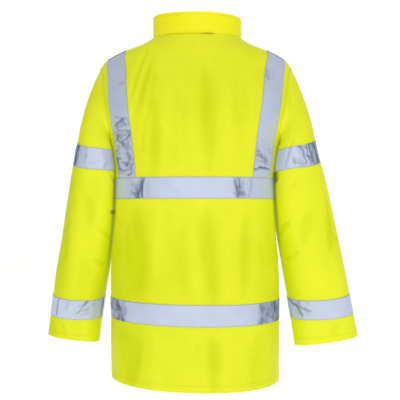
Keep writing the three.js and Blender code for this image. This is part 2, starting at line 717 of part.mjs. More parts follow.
function zipGeometry() {
  const positions = [];
  for (const { point, normal, cloth } of zipPath) {
    for (const [x, depth] of zipSection(cloth)) {
      const place = point.clone().addScaledVector(normal, -depth);
      positions.push(place.x + x, place.y, place.z);
    }
  }
  const sides = zipSection(CLOTH).length;
  const triangles = [];
  for (let row = 0; row < zipPath.length - 1; row += 1) {
    for (let i = 0; i < sides; i += 1) {
      const a = row * sides + i;
      const b = row * sides + ((i + 1) % sides);
      triangles.push(a, b, b + sides, a, b + sides, a + sides);
    }
  }
  const outline = zipSection(CLOTH).map(([x, depth]) => new THREE.Vector2(x, depth));
  const last = (zipPath.length - 1) * sides;
  for (const [a, b, c] of THREE.ShapeUtils.triangulateShape(outline, [])) {
    triangles.push(a, c, b, last + a, last + b, last + c);
  }
  return closedGeometry(positions, triangles);
}
add('zip', zipGeometry(), ZIP_PLASTIC);

// Slider near the top of the collar: a plate with a small arch, which the pull tab hangs in
const wasm = await Module();
wasm.setup();

function toSolid(geometry) {
  const bare = geometry.clone();
  bare.deleteAttribute('normal');
  bare.deleteAttribute('uv');
  const merged = mergeVertices(bare);
  return new wasm.Manifold(new wasm.Mesh({
    numProp: 3,
    vertProperties: new Float32Array(merged.attributes.position.array),
    triVerts: new Uint32Array(merged.index.array),
  }));
}

function toGeometry(solid) {
  const { vertProperties, triVerts } = solid.getMesh();
  const geometry = new THREE.BufferGeometry();
  geometry.setAttribute('position', new THREE.Float32BufferAttribute(vertProperties, 3));
  geometry.setIndex([...triVerts]);
  geometry.computeVertexNormals();
  return geometry;
}

// A flat plate with round corners, its thickness along Z
function plate(halfWidth, low, high, corner, thickness, holes = []) {
  const shape = new THREE.Shape();
  shape.moveTo(-halfWidth + corner, low);
  shape.lineTo(halfWidth - corner, low);
  shape.absarc(halfWidth - corner, low + corner, corner, -Math.PI / 2, 0, false);
  shape.absarc(halfWidth - corner, high - corner, corner, 0, Math.PI / 2, false);
  shape.absarc(-halfWidth + corner, high - corner, corner, Math.PI / 2, Math.PI, false);
  shape.absarc(-halfWidth + corner, low + corner, corner, Math.PI, 1.5 * Math.PI, false);
  shape.holes.push(...holes);
  return new THREE.ExtrudeGeometry(shape, { depth: thickness, bevelEnabled: false, curveSegments: 4 });
}

function sliderGeometry() {
  const { halfWidth, halfHeight, wall: thick, lift, archOuter, archInner, archWidth } = SLIDER;
  const body = plate(halfWidth, -halfHeight, halfHeight, SLIDER.corner, thick);
  body.translate(0, 0, lift);
  const outline = new THREE.Shape().absarc(0, 0, archOuter, 0, 2 * Math.PI, false);
  outline.holes.push(new THREE.Path().absarc(0, 0, archInner, 0, 2 * Math.PI, true));
  const arch = new THREE.ExtrudeGeometry(outline, {
    depth: archWidth, bevelEnabled: false, curveSegments: SLIDER.archSegments,
  });
  arch.translate(0, 0, -archWidth / 2);
  arch.rotateY(Math.PI / 2);
  arch.translate(0, 0, SLIDER.hingeOut);
  return toGeometry(toSolid(body).add(toSolid(arch)));
}

const sliderSeat = collarFront[2].point.clone().lerp(collarFront[3].point, SLIDER.share);
const sliderOut = collarFront[2].normal.clone().add(collarFront[3].normal).normalize();
const sliderUp = sliderOut.clone().cross(new THREE.Vector3(1, 0, 0));
const slider = add('zip_slider', sliderGeometry(), ZIP_METAL);
slider.quaternion.setFromRotationMatrix(
  new THREE.Matrix4().makeBasis(new THREE.Vector3(1, 0, 0), sliderUp, sliderOut));
slider.position.copy(sliderSeat);

// Pull tab, hanging straight down from the arch, which passes through its window
const eye = new THREE.Path([
  new THREE.Vector2(-PULL.windowHalf, -PULL.windowFoot),
  new THREE.Vector2(-PULL.windowHalf, -PULL.barHalf),
  new THREE.Vector2(PULL.windowHalf, -PULL.barHalf),
  new THREE.Vector2(PULL.windowHalf, -PULL.windowFoot),
]);
const tab = plate(PULL.halfWidth, -PULL.length, PULL.barHalf, PULL.corner, PULL.thickness, [eye]);
tab.translate(0, 0, -PULL.thickness / 2);
tab.rotateX(Math.PI / 2);
const pull = add('zip_pull', tab, ZIP_METAL);
pull.position.copy(sliderSeat).addScaledVector(sliderOut, SLIDER.hingeOut);

export default jacket;
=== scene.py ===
# %% [markdown]
# # A hi-vis work jacket, dressed for its portrait
#
# The real jacket is sewn from a fluorescent yellow coated cloth. Silver reflective tape runs
# over both shoulders, twice round the body and twice round each sleeve. It stands hollow, as if
# worn, and is seen from behind.
#
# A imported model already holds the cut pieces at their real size. This lesson dresses it: each
# piece is worked out again from the same sizes on a much finer grid, with its creases, its
# stitches and its finish. Sizes are written in millimetres, as a pattern cutter writes them,
# and turned to metres where a mesh is made.

import math

import bpy
import numpy as np
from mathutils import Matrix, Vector


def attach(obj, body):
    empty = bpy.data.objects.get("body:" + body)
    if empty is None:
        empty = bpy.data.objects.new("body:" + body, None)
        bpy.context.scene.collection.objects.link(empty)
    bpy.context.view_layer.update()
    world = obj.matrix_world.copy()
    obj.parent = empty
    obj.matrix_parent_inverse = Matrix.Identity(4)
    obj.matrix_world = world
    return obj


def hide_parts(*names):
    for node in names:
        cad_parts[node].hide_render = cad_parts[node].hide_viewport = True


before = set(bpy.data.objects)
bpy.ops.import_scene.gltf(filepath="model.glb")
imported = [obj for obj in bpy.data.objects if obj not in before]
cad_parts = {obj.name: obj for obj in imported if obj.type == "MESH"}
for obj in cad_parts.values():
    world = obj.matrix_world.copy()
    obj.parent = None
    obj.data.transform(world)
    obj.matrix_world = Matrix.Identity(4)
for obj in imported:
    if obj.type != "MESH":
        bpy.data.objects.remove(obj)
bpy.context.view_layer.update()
MM = 0.001

# %% [markdown]
# ## Camera
#
# The portrait is taken from behind, level with the middle of the back. The upper bands curve
# hardly at all and the hem curves down, which only a camera about a metre and a half away gives.
# A 59 mm lens frames the jacket from there. The horizon lies a little below the middle of the
# picture, so the lens is shifted by a fiftieth of the frame instead of being tilted.

# %% Place the camera
CAMERA_PLACE = (-8.7, 1640, -420)
CAMERA_LENS = 59.1
CAMERA_SHIFT = 0.02

camera_data = bpy.data.cameras.new("portrait_camera")
camera_data.lens = CAMERA_LENS
camera_data.shift_y = CAMERA_SHIFT
camera = bpy.data.objects.new("portrait_camera", camera_data)
camera.location = Vector(CAMERA_PLACE) * MM
camera.rotation_euler = (math.radians(90), 0, math.radians(180))
bpy.context.scene.collection.objects.link(camera)
bpy.context.scene.camera = camera
bpy.context.scene.view_settings.view_transform = "Standard"
print("camera", CAMERA_LENS, "mm lens at", tuple(camera.location))

# %% [markdown]
# ## Colours and shader nodes
#
# Colours are written as sRGB hex values, because that is how a swatch is read off a screen.
# Shaders want linear light, so one function converts them. A second small function adds any
# shader node with its settings, values and links, so that each material reads as a list.

# %% Colour and node helpers
def linear(code):
    """Linear RGBA of an sRGB hex colour such as E6EC32."""
    parts = [int(code[i:i + 2], 16) / 255 for i in (0, 2, 4)]
    return (*[c / 12.92 if c <= 0.04045 else ((c + 0.055) / 1.055) ** 2.4 for c in parts], 1.0)


def add(tree, kind, values=None, links=None, **settings):
    """A new node of a kind, with its settings, its socket values and what is linked into it."""
    made = tree.nodes.new(kind)
    for name, value in settings.items():
        setattr(made, name, value)
    for socket, value in (values or {}).items():
        made.inputs[socket].default_value = value
    for socket, source in (links or {}).items():
        tree.links.new(source, made.inputs[socket])
    return made


def new_material(name):
    """An empty material and its node tree."""
    material = bpy.data.materials.new(name)
    material.use_nodes = True
    material.node_tree.nodes.clear()
    return material, material.node_tree


# %% [markdown]
# ## Studio
#
# The jacket hangs in front of a plain white sweep. A real one is a sheet of matt paper that
# curves up behind the subject, so no horizon shows. It is lofted here from a short profile.
#
# Fluorescent cloth looks nearly flat under soft light, but the silver tape is shiny and shows
# what stands around it. So a wide softbox stands close to the camera, for the tape to mirror
# face on, and the sides of the room stay dimmer, so that the tape darkens where it turns away.

# %% Sweep and lights
SWEEP_FLOOR = -1080
SWEEP_HALF_WIDTH = 6000
SWEEP_FRONT = 4000
SWEEP_BACK = -2300
SWEEP_TOP = 3500
SWEEP_RADIUS = 900
SWEEP_STEPS = 16
PAPER_GLOW = 0.42
ROOM_LIGHT = 0.26
JACKET_MIDDLE = (0, 0, -420)


def sweep_profile():
    """Distance back and height of the paper, from the floor in front to the top behind."""
    bend = [
        (SWEEP_BACK + SWEEP_RADIUS * (1 - math.sin(t)), SWEEP_FLOOR + SWEEP_RADIUS * (1 - math.cos(t)))
        for t in np.linspace(0, math.pi / 2, SWEEP_STEPS)
    ]
    return [(SWEEP_FRONT, SWEEP_FLOOR), *bend, (SWEEP_BACK, SWEEP_TOP)]


def make_sweep():
    """One smooth lofted sheet of matt paper."""
    profile = sweep_profile()
    points = [(side * SWEEP_HALF_WIDTH * MM, y * MM, z * MM)
              for y, z in profile for side in (-1, 1)]
    faces = [(2 * i, 2 * i + 1, 2 * i + 3, 2 * i + 2) for i in range(len(profile) - 1)]
    mesh = bpy.data.meshes.new("studio_sweep")
    mesh.from_pydata(points, [], faces)
    mesh.shade_smooth()
    sweep = bpy.data.objects.new("studio_sweep", mesh)
    bpy.context.scene.collection.objects.link(sweep)
    material, tree = new_material("matt_white_paper")
    shader = add(tree, "ShaderNodeBsdfPrincipled", values={
        "Base Color": linear("FAFAFA"), "Roughness": 0.9,
        "Emission Color": linear("FFFFFF"), "Emission Strength": PAPER_GLOW})
    add(tree, "ShaderNodeOutputMaterial", links={"Surface": shader.outputs["BSDF"]})
    mesh.materials.append(material)


def softbox(name, place, size, watts):
    """A square soft light that faces the middle of the jacket."""
    data = bpy.data.lights.new(name, "AREA")
    data.size = size * MM
    data.energy = watts
    light = bpy.data.objects.new(name, data)
    light.location = Vector(place) * MM
    aim = Vector(JACKET_MIDDLE) * MM - light.location
    light.rotation_euler = aim.to_track_quat("-Z", "Y").to_euler()
    bpy.context.scene.collection.objects.link(light)


def light_room():
    """A dim white room with four softboxes in it."""
    world = bpy.data.worlds.new("dim_room")
    world.use_nodes = True
    background = world.node_tree.nodes["Background"]
    background.inputs["Color"].default_value = linear("FFFFFF")
    background.inputs["Strength"].default_value = ROOM_LIGHT
    bpy.context.scene.world = world
    softbox("camera_softbox", (-200, 2700, 400), 3000, 32)
    softbox("side_softbox", (-2400, 1500, 800), 1300, 2.5)
    softbox("top_softbox", (-200, 300, 2000), 2200, 11)
    softbox("front_softbox", (0, -1500, 400), 1500, 4.5)


make_sweep()
light_room()

# %% [markdown]
# ## Tables and smooth curves
#
# A pattern is a few measures at a few heights. A short table holds them, and a smooth curve
# through its rows gives the measure at any height between, so the cloth has no corners where
# the table has rows.

# %% Reading a table
def table(columns, *rows):
    """Rows of numbers as one array for each named column, from the top down."""
    return dict(zip(columns.split(), np.array(rows, float).T))


def mix(a, b, t):
    """The value a share t of the way from a to b."""
    return a + (b - a) * t


def ease(t):
    """Zero up to 0, one from 1, and smooth between."""
    t = np.clip(t, 0, 1)
    return t * t * (3 - 2 * t)


def read(rows, column, height):
    """Smooth value of one column of a table at any height."""
    z, value = rows["z"], rows[column]
    height = np.clip(height, z[-1], z[0])
    slope = np.empty_like(value)
    slope[1:-1] = (value[2:] - value[:-2]) / (z[2:] - z[:-2])
    slope[0] = (value[1] - value[0]) / (z[1] - z[0])
    slope[-1] = (value[-1] - value[-2]) / (z[-1] - z[-2])
    k = np.clip(np.searchsorted(-z, -height, side="right") - 1, 0, len(z) - 2)
    span = z[k + 1] - z[k]
    t = (height - z[k]) / span
    rise, fall = slope[k] * span, slope[k + 1] * span
    a, b = value[k], value[k + 1]
    return a + rise * t + (3 * (b - a) - 2 * rise - fall) * t**2 + (rise + fall - 2 * (b - a)) * t**3


# %% [markdown]
# ## The sizes of the body
#
# The jacket is a stack of rounded rings from the neck to the hem. Each has a half width, a depth
# behind and before the shoulder line, a squareness, and a small shift to one side, because a
# worn jacket never hangs quite straight. The armholes are cut out of the rings.

# %% Body tables
SHOULDER_TIP = -65
UNDERARM = -262
CHEST_TAPE = (-348, -398)
HIP_TAPE = (-642.5, -692.5)
HEM = -844
HEM_TILT = 5
HEM_RISE = 10
TILT_START = -400
NECK_HALF = 110
NECK_DROP = {1: 5, -1: 75}
CENTRE = {1: 0, -1: 5}
SEAM_HALF = -0.2
CLOTH = 2

BODY = table(
    "z half back front square shift",
    (0, 110, 78, 60, 2.0, -2),
    (-10, 127, 81, 62, 2.0, -1.5),
    (-20, 147, 84, 64, 2.0, -1),
    (-33, 181, 89, 68, 2.0, 0),
    (-48, 211, 94, 72, 2.0, 0.5),
    (-65, 232, 99, 77, 2.0, 1),
    (-94, 234, 109, 88, 2.1, 1.5),
    (-130, 235, 120, 101, 2.3, 2.5),
    (-168, 233, 128, 114, 2.5, 3),
    (-200, 229, 133, 121, 2.5, 4),
    (-262, 208, 134, 127, 2.5, 4.5),
    (-348, 196.5, 134, 127, 2.6, 5),
    (-450, 198.5, 130, 122, 2.6, 4),
    (-560, 207, 133, 124, 2.6, 4),
    (-650, 208, 139, 129, 2.6, 3),
    (-870, 206, 140, 133, 2.6, 3),
)
ARMHOLE = table(
    "z back front",
    (-65, 0, 0),
    (-75, 17, 16),
    (-94, 31, 29),
    (-130, 50, 46),
    (-165, 63, 58),
    (-200, 68, 62),
    (-230, 63, 58),
    (-248, 49, 46),
    (-258, 28, 27),
    (-262, 0, 0),
)
LINES = table(
    "z neck inner outer",
    (0, 110, 173, 217),
    (-48, 108, 171, 217),
    (-80, 107, 166, 215),
    (-168, 103, 157.5, 206),
    (-262, 97, 145, 192),
    (-348, 91, 136, 181),
)
FACES = {1: "back", -1: "front"}

# Columns counted out from the centre, and rows counted down from the neck and shoulder
NECK_COLUMN, INNER_COLUMN, OUTER_COLUMN, EDGE_COLUMN = 5, 8, 10, 13
KNOTS = (0, NECK_COLUMN, INNER_COLUMN, OUTER_COLUMN, EDGE_COLUMN)
YOKE_ROWS = 10
CHEST_ROW = YOKE_ROWS + 3
HIP_ROW = CHEST_ROW + 1 + 8
LAST_ROW = HIP_ROW + 1 + 5
ROW_HEIGHTS = (
    (YOKE_ROWS, CHEST_ROW, CHEST_ROW + 1, HIP_ROW, HIP_ROW + 1, LAST_ROW),
    (UNDERARM, *CHEST_TAPE, *HIP_TAPE, HEM),
)
FADE_CELLS = 3
SETTLE_DROP = 60
ROUND_FROM = mix(SHOULDER_TIP, UNDERARM, 0.4)
CROWDING = 1.4
print("centre back length", -HEM - NECK_DROP[1], "mm")

# %% [markdown]
# ## Folds and creases
#
# Coated cloth is stiff, so it doesn't ripple like silk. It hangs in a few long soft troughs,
# with short sharper creases where it is pressed. The troughs are listed, each with its
# own length, width and depth. A fainter random ripple keeps the flat stretches from looking
# machined. The ripple's random numbers have fixed seeds, so each run gives the same cloth.

# %% Troughs, strokes and ripples
TROUGHS = {
    1: table(
        "topX topZ footX footZ width depth",
        (100, -40, 142, -235, 24, 2.5),
        (98, -175, 96, -330, 26, 2.5),
        (-26, -110, -32, -335, 38, 3),
        (-100, -140, -112, -325, 28, 2),
        (128, -415, 122, -630, 34, 3.5),
        (56, -430, 40, -600, 30, 2),
        (-38, -405, -44, -630, 36, 3.5),
        (-120, -420, -104, -610, 30, 2.5),
        (132, -700, 140, -815, 34, 4),
        (-46, -705, -50, -820, 32, 3),
    ),
    -1: table(
        "topX topZ footX footZ width depth",
        (104, -60, 128, -250, 26, 4),
        (-104, -60, -122, -270, 26, 4),
        (70, -180, 62, -335, 28, 4),
        (-74, -160, -60, -330, 30, 3),
        (110, -420, 96, -625, 34, 5),
        (-92, -410, -106, -620, 32, 5),
        (84, -705, 92, -820, 32, 4),
        (-110, -700, -100, -815, 32, 4),
    ),
}


# Shares of a sine's half turn at which a trough starts and ends, so that neither is a point
TROUGH_ENDS = (0.12, 0.88)
# How narrow a crease is at its tips, and over what share of its length it fades in and out
CREASE_TIP = 0.45
CREASE_FADE = 0.2
# The random heights repeat after this many bumps each way
BUMPS = (61, 67)
FACET_STRAY, FACET_STRAY_SIZE = 0.4, 1.7


def trough_depth(face, x, z):
    """Depth of the long soft troughs at a place on the back (1) or the front (-1)."""
    depth = np.zeros(np.broadcast(x, z).shape)
    for top_x, top_z, foot_x, foot_z, width, deep in zip(*TROUGHS[face].values()):
        run_x, run_z = foot_x - top_x, foot_z - top_z
        along = ((x - top_x) * run_x + (z - top_z) * run_z) / (run_x**2 + run_z**2)
        along = np.clip(along, 0, 1)
        away = np.hypot(x - top_x - along * run_x, z - top_z - along * run_z)
        depth += deep * (1 - ease(away / width)) * np.sin(math.pi * mix(*TROUGH_ENDS, along))
    return depth


def stroke(x, z, start, end, bow, width, depth):
    """Depth of one crease from start to end, bowed sideways, with a raised lip on each side."""
    run = np.subtract(end, start)
    length = np.hypot(*run)
    ux, uz = run / length
    along = ((x - start[0]) * ux + (z - start[1]) * uz) / length
    side = (x - start[0]) * uz - (z - start[1]) * ux - 4 * bow * along * (1 - along)
    taper = mix(CREASE_TIP, 1, np.sin(math.pi * np.clip(along, 0, 1)))
    near = (side / (width * taper)) ** 2
    fade = ease(along / CREASE_FADE) * ease((1 - along) / CREASE_FADE)
    return depth * (1 - near) * np.exp(-near) * fade


def strokes(x, z, rows):
    """Depth of all the creases of a list, each (start, end, bow, width, depth)."""
    return sum((stroke(x, z, *row) for row in rows), np.zeros(np.broadcast(x, z).shape))


def ripple(x, z, size, seed):
    """Smooth random heights from -1 to 1, about one bump in each `size` millimetres."""
    heights = np.random.RandomState(seed).uniform(-1, 1, BUMPS)
    a, b = x / size, z / size
    i, j = np.floor(a).astype(int), np.floor(b).astype(int)
    s, t = ease(a - i), ease(b - j)

    def corner(di, dj):
        return heights[(i + di) % BUMPS[0], (j + dj) % BUMPS[1]]

    return mix(mix(corner(0, 0), corner(1, 0), s), mix(corner(0, 1), corner(1, 1), s), t)


def facets(x, z, size, seed):
    """Heights from -1 to 1 of flat facets that meet in straight creases, as in crumpled foil."""
    heights = np.random.RandomState(seed).uniform(-1, 1, BUMPS)
    stray = FACET_STRAY * size * ripple(x, z, FACET_STRAY_SIZE * size, seed + 9)
    a, b = (x + stray + z / 2) / size, (z - stray) / size
    i, j = np.floor(a).astype(int), np.floor(b).astype(int)
    s, t = a - i, b - j

    def corner(di, dj):
        return heights[(i + di) % BUMPS[0], (j + dj) % BUMPS[1]]

    near, far = corner(0, 0), corner(1, 1)
    below = near + s * (corner(1, 0) - near) + t * (far - corner(1, 0))
    above = near + t * (corner(0, 1) - near) + s * (far - corner(0, 1))
    return np.where(s > t, below, above)


# %% [markdown]
# ## The surface of the body
#
# Every piece of the body lies on one surface, and is a patch of the same grid of rows and
# columns. A column follows a sewing line down the yoke, then an even share of the way round.
# Columns and rows may be fractions here, so each patch is as fine as it needs to be, and what
# is sewn on a panel lies exactly on it.

# %% Body surface
def ring(z, face):
    """Half width, depth, squareness and sideways shift of the body at some heights."""
    return (read(BODY, "half", z), read(BODY, FACES[face], z),
            read(BODY, "square", z), read(BODY, "shift", z))


def across(reach, other, other_reach, square):
    """How far one half axis of a ring goes where the other coordinate is known."""
    return reach * (1 - np.minimum(1, np.abs(other) / other_reach) ** square) ** (1 / square)


def edge_x(face, z):
    """Distance from the centre of the armhole edge, or of the side seam below it."""
    half, depth, square, _ = ring(z, face)
    y = np.where(z > UNDERARM, read(ARMHOLE, FACES[face], z), 0)
    return across(half, y, depth, square)


def knot_place(column, knots):
    """Which pair of lines a column lies between, and how far along."""
    k = next((i for i in range(len(knots) - 2) if column <= knots[i + 1]), len(knots) - 2)
    return k, (column - knots[k]) / (knots[k + 1] - knots[k])


def column_x(face, column, z):
    """Distance from the centre of a column at some heights."""
    half, _, square, _ = ring(z, face)
    sewn = [read(LINES, name, z) for name in ("neck", "inner", "outer")]
    lines = [np.full_like(z, CENTRE[face]), *sewn, edge_x(face, z)]
    k, t = knot_place(column, KNOTS)
    straight = mix(lines[k], lines[k + 1], t)
    angles = [np.arcsin(np.minimum(1, lines[i] / half) ** (square / 2)) for i in (k, k + 1)]
    even_round = half * np.sin(mix(*angles, t)) ** (2 / square)
    below = ease((ROUND_FROM - z) / (ROUND_FROM - UNDERARM)) if k == len(KNOTS) - 2 else 0
    return mix(straight, even_round, below)


def shoulder_x(column, z):
    """Distance of a shoulder column from the centre, above the shoulder tip."""
    lines = (read(LINES, "neck", 0.0), read(LINES, "inner", z), read(LINES, "outer", z),
             read(BODY, "half", SHOULDER_TIP))
    k, t = knot_place(column, KNOTS[1:])
    return mix(lines[k], lines[k + 1], t)


def column_top(face, column):
    """Distance and height of the top of a column, on the neckline or the shoulder seam."""
    if column <= NECK_COLUMN:
        turn = math.pi / 2 * column / NECK_COLUMN
        power = 2 if face > 0 else 3
        drop = NECK_DROP[face] * math.cos(turn) ** power
        return mix(CENTRE[face], NECK_HALF, math.sin(turn)), -drop
    heights = np.linspace(0, SHOULDER_TIP, 400)
    widths = read(BODY, "half", heights)
    z = SHOULDER_TIP / 2
    for _ in range(12):
        z = float(np.interp(shoulder_x(column, z), widths, heights))
    return float(shoulder_x(column, z)), z


def body_normal(x, y, z, face):
    """Directions straight out of the body at some points."""
    def level(height):
        half, depth, square, shift = ring(height, face)
        return (np.abs(x - shift) / half) ** square + (np.abs(y) / depth) ** square

    def steep(distance, reach, square):
        return square * np.sign(distance) * (np.abs(distance) / reach) ** (square - 1) / reach

    half, depth, square, shift = ring(z, face)
    normal = np.stack([steep(x - shift, half, square), steep(y, depth, square),
                       level(z + 0.5) - level(z - 0.5)], axis=-1)
    return normal / np.linalg.norm(normal, axis=-1, keepdims=True)


def body_grid(face, side, columns, rows):
    """Points, normals and panel coordinates of the body where the columns cross the rows."""
    rows = np.asarray(rows, float)
    grid_x, grid_z = [], []
    for column in columns:
        top_x, top_z = column_top(face, column)
        t = np.clip(rows / YOKE_ROWS, 0, 1)
        even = (1 - np.cos(math.pi * t)) / 2
        at_edge = np.clip(column - EDGE_COLUMN + 1, 0, 1)
        share = mix(mix(t**CROWDING, even, 0.5), even, at_edge)
        z = mix(top_z, UNDERARM, share)
        settle = mix(ease((top_z - z) / SETTLE_DROP), 1, at_edge)
        x = mix(top_x, column_x(face, column, z), settle)
        low_z = np.interp(rows, *ROW_HEIGHTS)
        level = np.maximum(low_z, CHEST_TAPE[0])
        full = read(BODY, "half", level) - CENTRE[face]
        portion = (column_x(face, column, level) - CENTRE[face]) / full
        low_x = mix(CENTRE[face], read(BODY, "half", low_z), portion)
        low = rows > YOKE_ROWS
        grid_x.append(np.where(low, low_x, x))
        grid_z.append(np.where(low, low_z, z))
    x, z = np.array(grid_x).T, np.array(grid_z).T
    half, depth, square, shift = ring(z, face)
    y = face * across(depth, np.minimum(x, half), half, square)
    lean = np.clip((TILT_START - z) / (TILT_START - HEM), 0, 1)
    tilt = lean * (HEM_TILT * side * x / half + HEM_RISE * (x / half) ** 2)
    point = np.stack([shift + side * x, y, z], axis=-1)
    normal = body_normal(point[..., 0], np.where(y == 0, face * 0.001, y), z, face)
    return point, normal, side * x, z, tilt


# %% [markdown]
# ## Creases of the body
#
# These are the shorter creases on the back as they lie in the cloth, and similar ones on the
# front. Each is a start, an end, a bow to one side, a width and a depth. Near the seams
# every crease fades out, because the seam's layers hold the cloth flat there.

# %% Body creases
BODY_CREASES = {
    1: [
        ((148, -392), (142, -650), 8, 30, 2.4),
        ((90, -396), (88, -600), 4, 20, -2.0),
        ((-26, -392), (-48, -650), -6, 26, 2.4),
        ((-80, -390), (-76, -640), 3, 18, -2.6),
        ((-122, -410), (-112, -640), 5, 20, 2.4),
        ((24, -430), (18, -640), -5, 20, 1.8),
        ((176, -690), (150, -850), 8, 26, 3.4),
        ((96, -700), (92, -860), 4, 18, -1.8),
        ((-40, -700), (-50, -860), -5, 22, 2.8),
        ((-150, -700), (-140, -850), -5, 22, 2.0),
        ((-28, -70), (-34, -360), 6, 24, 1.5),
        ((-74, -90), (-66, -350), 4, 18, -1.2),
        ((40, -120), (44, -340), -5, 22, 1.0),
        ((100, -150), (96, -360), 5, 18, 1.2),
        ((112, -30), (150, -170), -6, 9, 2.6),
        ((104, -60), (132, -190), -4, 8, 2.0),
        ((96, -95), (116, -230), 3, 9, 1.7),
        ((120, -185), (126, -300), 4, 8, 1.4),
        ((-14, -60), (-20, -250), 5, 14, 1.6),
        ((22, -150), (14, -330), -4, 13, 1.0),
        ((-62, -180), (-70, -330), 4, 12, 1.3),
        ((-118, -90), (-128, -230), -3, 9, 0.9),
        ((-8, -420), (-26, -560), -6, 16, 1.8),
        ((80, -440), (90, -600), 6, 14, 1.4),
        ((-84, -430), (-70, -590), 5, 14, 1.3),
        ((-150, -480), (-160, -600), 4, 10, 1.6),
        ((160, -450), (150, -560), -5, 11, 1.5),
        ((104, -710), (112, -800), 4, 12, 1.2),
        ((-4, -715), (-12, -800), -3, 14, 1.2),
        ((-120, -712), (-114, -790), 4, 11, 1.0),
        ((176, -760), (150, -815), 6, 9, 1.4),
    ],
    -1: [
        ((100, -410), (112, -650), 6, 28, 3.6),
        ((-96, -400), (-108, -650), -6, 28, 3.6),
        ((54, -400), (46, -640), 4, 18, -2.2),
        ((-50, -400), (-44, -640), 4, 18, -2.2),
        ((92, -690), (98, -850), 5, 24, 2.8),
        ((-88, -690), (-96, -850), 5, 24, 2.8),
        ((78, -130), (70, -350), 5, 20, 2.2),
        ((-80, -120), (-72, -350), 5, 20, 2.2),
        ((96, -90), (120, -215), -5, 9, 1.4),
        ((-98, -100), (-126, -230), 5, 9, 1.4),
        ((40, -200), (36, -330), 4, 11, 1.1),
        ((-34, -220), (-40, -335), -4, 11, 1.1),
        ((60, -430), (78, -590), 6, 14, 1.5),
        ((-52, -440), (-66, -600), -6, 13, 1.4),
        ((140, -500), (130, -600), 4, 11, 1.3),
        ((-146, -470), (-150, -590), -4, 11, 1.3),
        ((54, -715), (60, -800), 3, 12, 1.1),
        ((-64, -712), (-56, -805), -3, 12, 1.1),
    ],
}
# Towards the side seams, below the chest band, the cloth gets painted shade: how much on the left
# and on the right of the wearer, how far out it starts, and over what width and drop it comes on
PAINTED_SIDE_SHADE = {1: 5.0, -1: 3.0}
SIDE_FROM, SIDE_OVER, SIDE_DROP = 70, 130, 160
# Size, depth and seed of each ripple. Ripples are longer down the cloth than across it.
RIPPLES = ((95, 1.3, 11), (38, 0.45, 12))
RIPPLE_STRETCH = 0.6
RIPPLE_OFFSET = 400
# Columns and rows over which the creases fade out at a seam
SEAM_COLUMNS, SEAM_ROWS = 1.2, 1.5
UNDER_TAPE = 2.0
TUCK = 4.0
BRACE_CELL = 22.0
TAPE_WIDTH = 50.0


def under_tape(columns, rows):
    """How far the cloth is pressed in under the reflective tape, from 0 to 1."""
    columns, rows = np.meshgrid(columns, rows)
    inside = np.full(columns.shape, -1.0)
    for band in (CHEST_ROW, HIP_ROW):
        inside = np.maximum(inside, np.minimum(rows - band, band + 1 - rows) * TAPE_WIDTH)
    brace = np.minimum(columns - INNER_COLUMN, OUTER_COLUMN - columns) * BRACE_CELL
    inside = np.maximum(inside, np.where(rows < CHEST_ROW, brace, -1.0))
    return ease(inside / TUCK)


def body_cloth(face, side, columns, rows, pressed=True):
    """The creased cloth of the body: points, normals, panel coordinates, and fold depth with painted side
    shade.
    """
    point, normal, x, z, tilt = body_grid(face, side, columns, rows)
    cells = np.asarray(columns, float)[None, :]
    lines = np.asarray(rows, float)[:, None]
    long_fade = ease((EDGE_COLUMN - cells) / FADE_CELLS) * ease(lines / FADE_CELLS)
    depth = long_fade * trough_depth(face, x, z)
    near_seam = ease((EDGE_COLUMN - cells) / SEAM_COLUMNS) * ease(lines / SEAM_ROWS)
    if face < 0:
        near_seam = near_seam * ease(cells)
    depth = depth + near_seam * strokes(x, z, BODY_CREASES[face])
    for size, deep, seed in RIPPLES:
        bumps = ripple(x + RIPPLE_OFFSET, z * RIPPLE_STRETCH, size, seed + face)
        depth = depth + near_seam * deep * bumps
    sunk = depth + (UNDER_TAPE * under_tape(columns, rows) if pressed else 0)
    # Painted shade towards the side seams, added to the fold mark only and not to the cloth's shape
    side_shading = ease((np.abs(x) - SIDE_FROM) / SIDE_OVER) * ease((CHEST_TAPE[1] - z) / SIDE_DROP)
    depth = depth + PAINTED_SIDE_SHADE[side] * side_shading
    point = point - normal * sunk[..., None]
    point[..., 1] += face * SEAM_HALF
    point[..., 2] += tilt
    return point, normal, x, z, depth


# %% [markdown]
# ## From a grid to cloth
#
# A sheet of cloth is a closed wall: an outer face, an inner face and a rim that joins them. A
# cut edge turned under is round, so the faces stop a little short of the edge and the rim's
# middle line reaches it. Each vertex keeps its place in the flat cloth, in metres, as its UV:
# a weave drawn on that keeps its real size and follows the cloth.

# %% Grids and rims
RIM_ROUND = 0.6
SHARP_EDGE = 62


def unit(vectors):
    """Vectors of the same directions, one long."""
    return vectors / np.maximum(np.linalg.norm(vectors, axis=-1, keepdims=True), 1e-9)


def surface_normals(points, around):
    """Normals of the surface through a grid of points, away from the middle of each row."""
    if around:
        along = np.roll(points, -1, axis=1) - np.roll(points, 1, axis=1)
    else:
        along = np.gradient(points, axis=1)
    down = np.gradient(points, axis=0)
    normal = unit(np.cross(along, down))
    outward = points - points.mean(axis=1, keepdims=True)
    if (normal * outward).sum() < 0:
        normal = -normal
    return normal


def flat_places(points, around):
    """Place of each vertex in the flat cloth: distance along its row and down its column."""
    across_steps = np.linalg.norm(np.diff(points, axis=1), axis=-1)
    down_steps = np.linalg.norm(np.diff(points, axis=0), axis=-1)
    u = np.concatenate([np.zeros((len(points), 1)), across_steps.cumsum(axis=1)], axis=1)
    v = np.concatenate([np.zeros((1, points.shape[1])), down_steps.cumsum(axis=0)], axis=0)
    u = u - (0 if around else u[:, -1:] / 2)
    return np.stack([u, v], axis=-1)


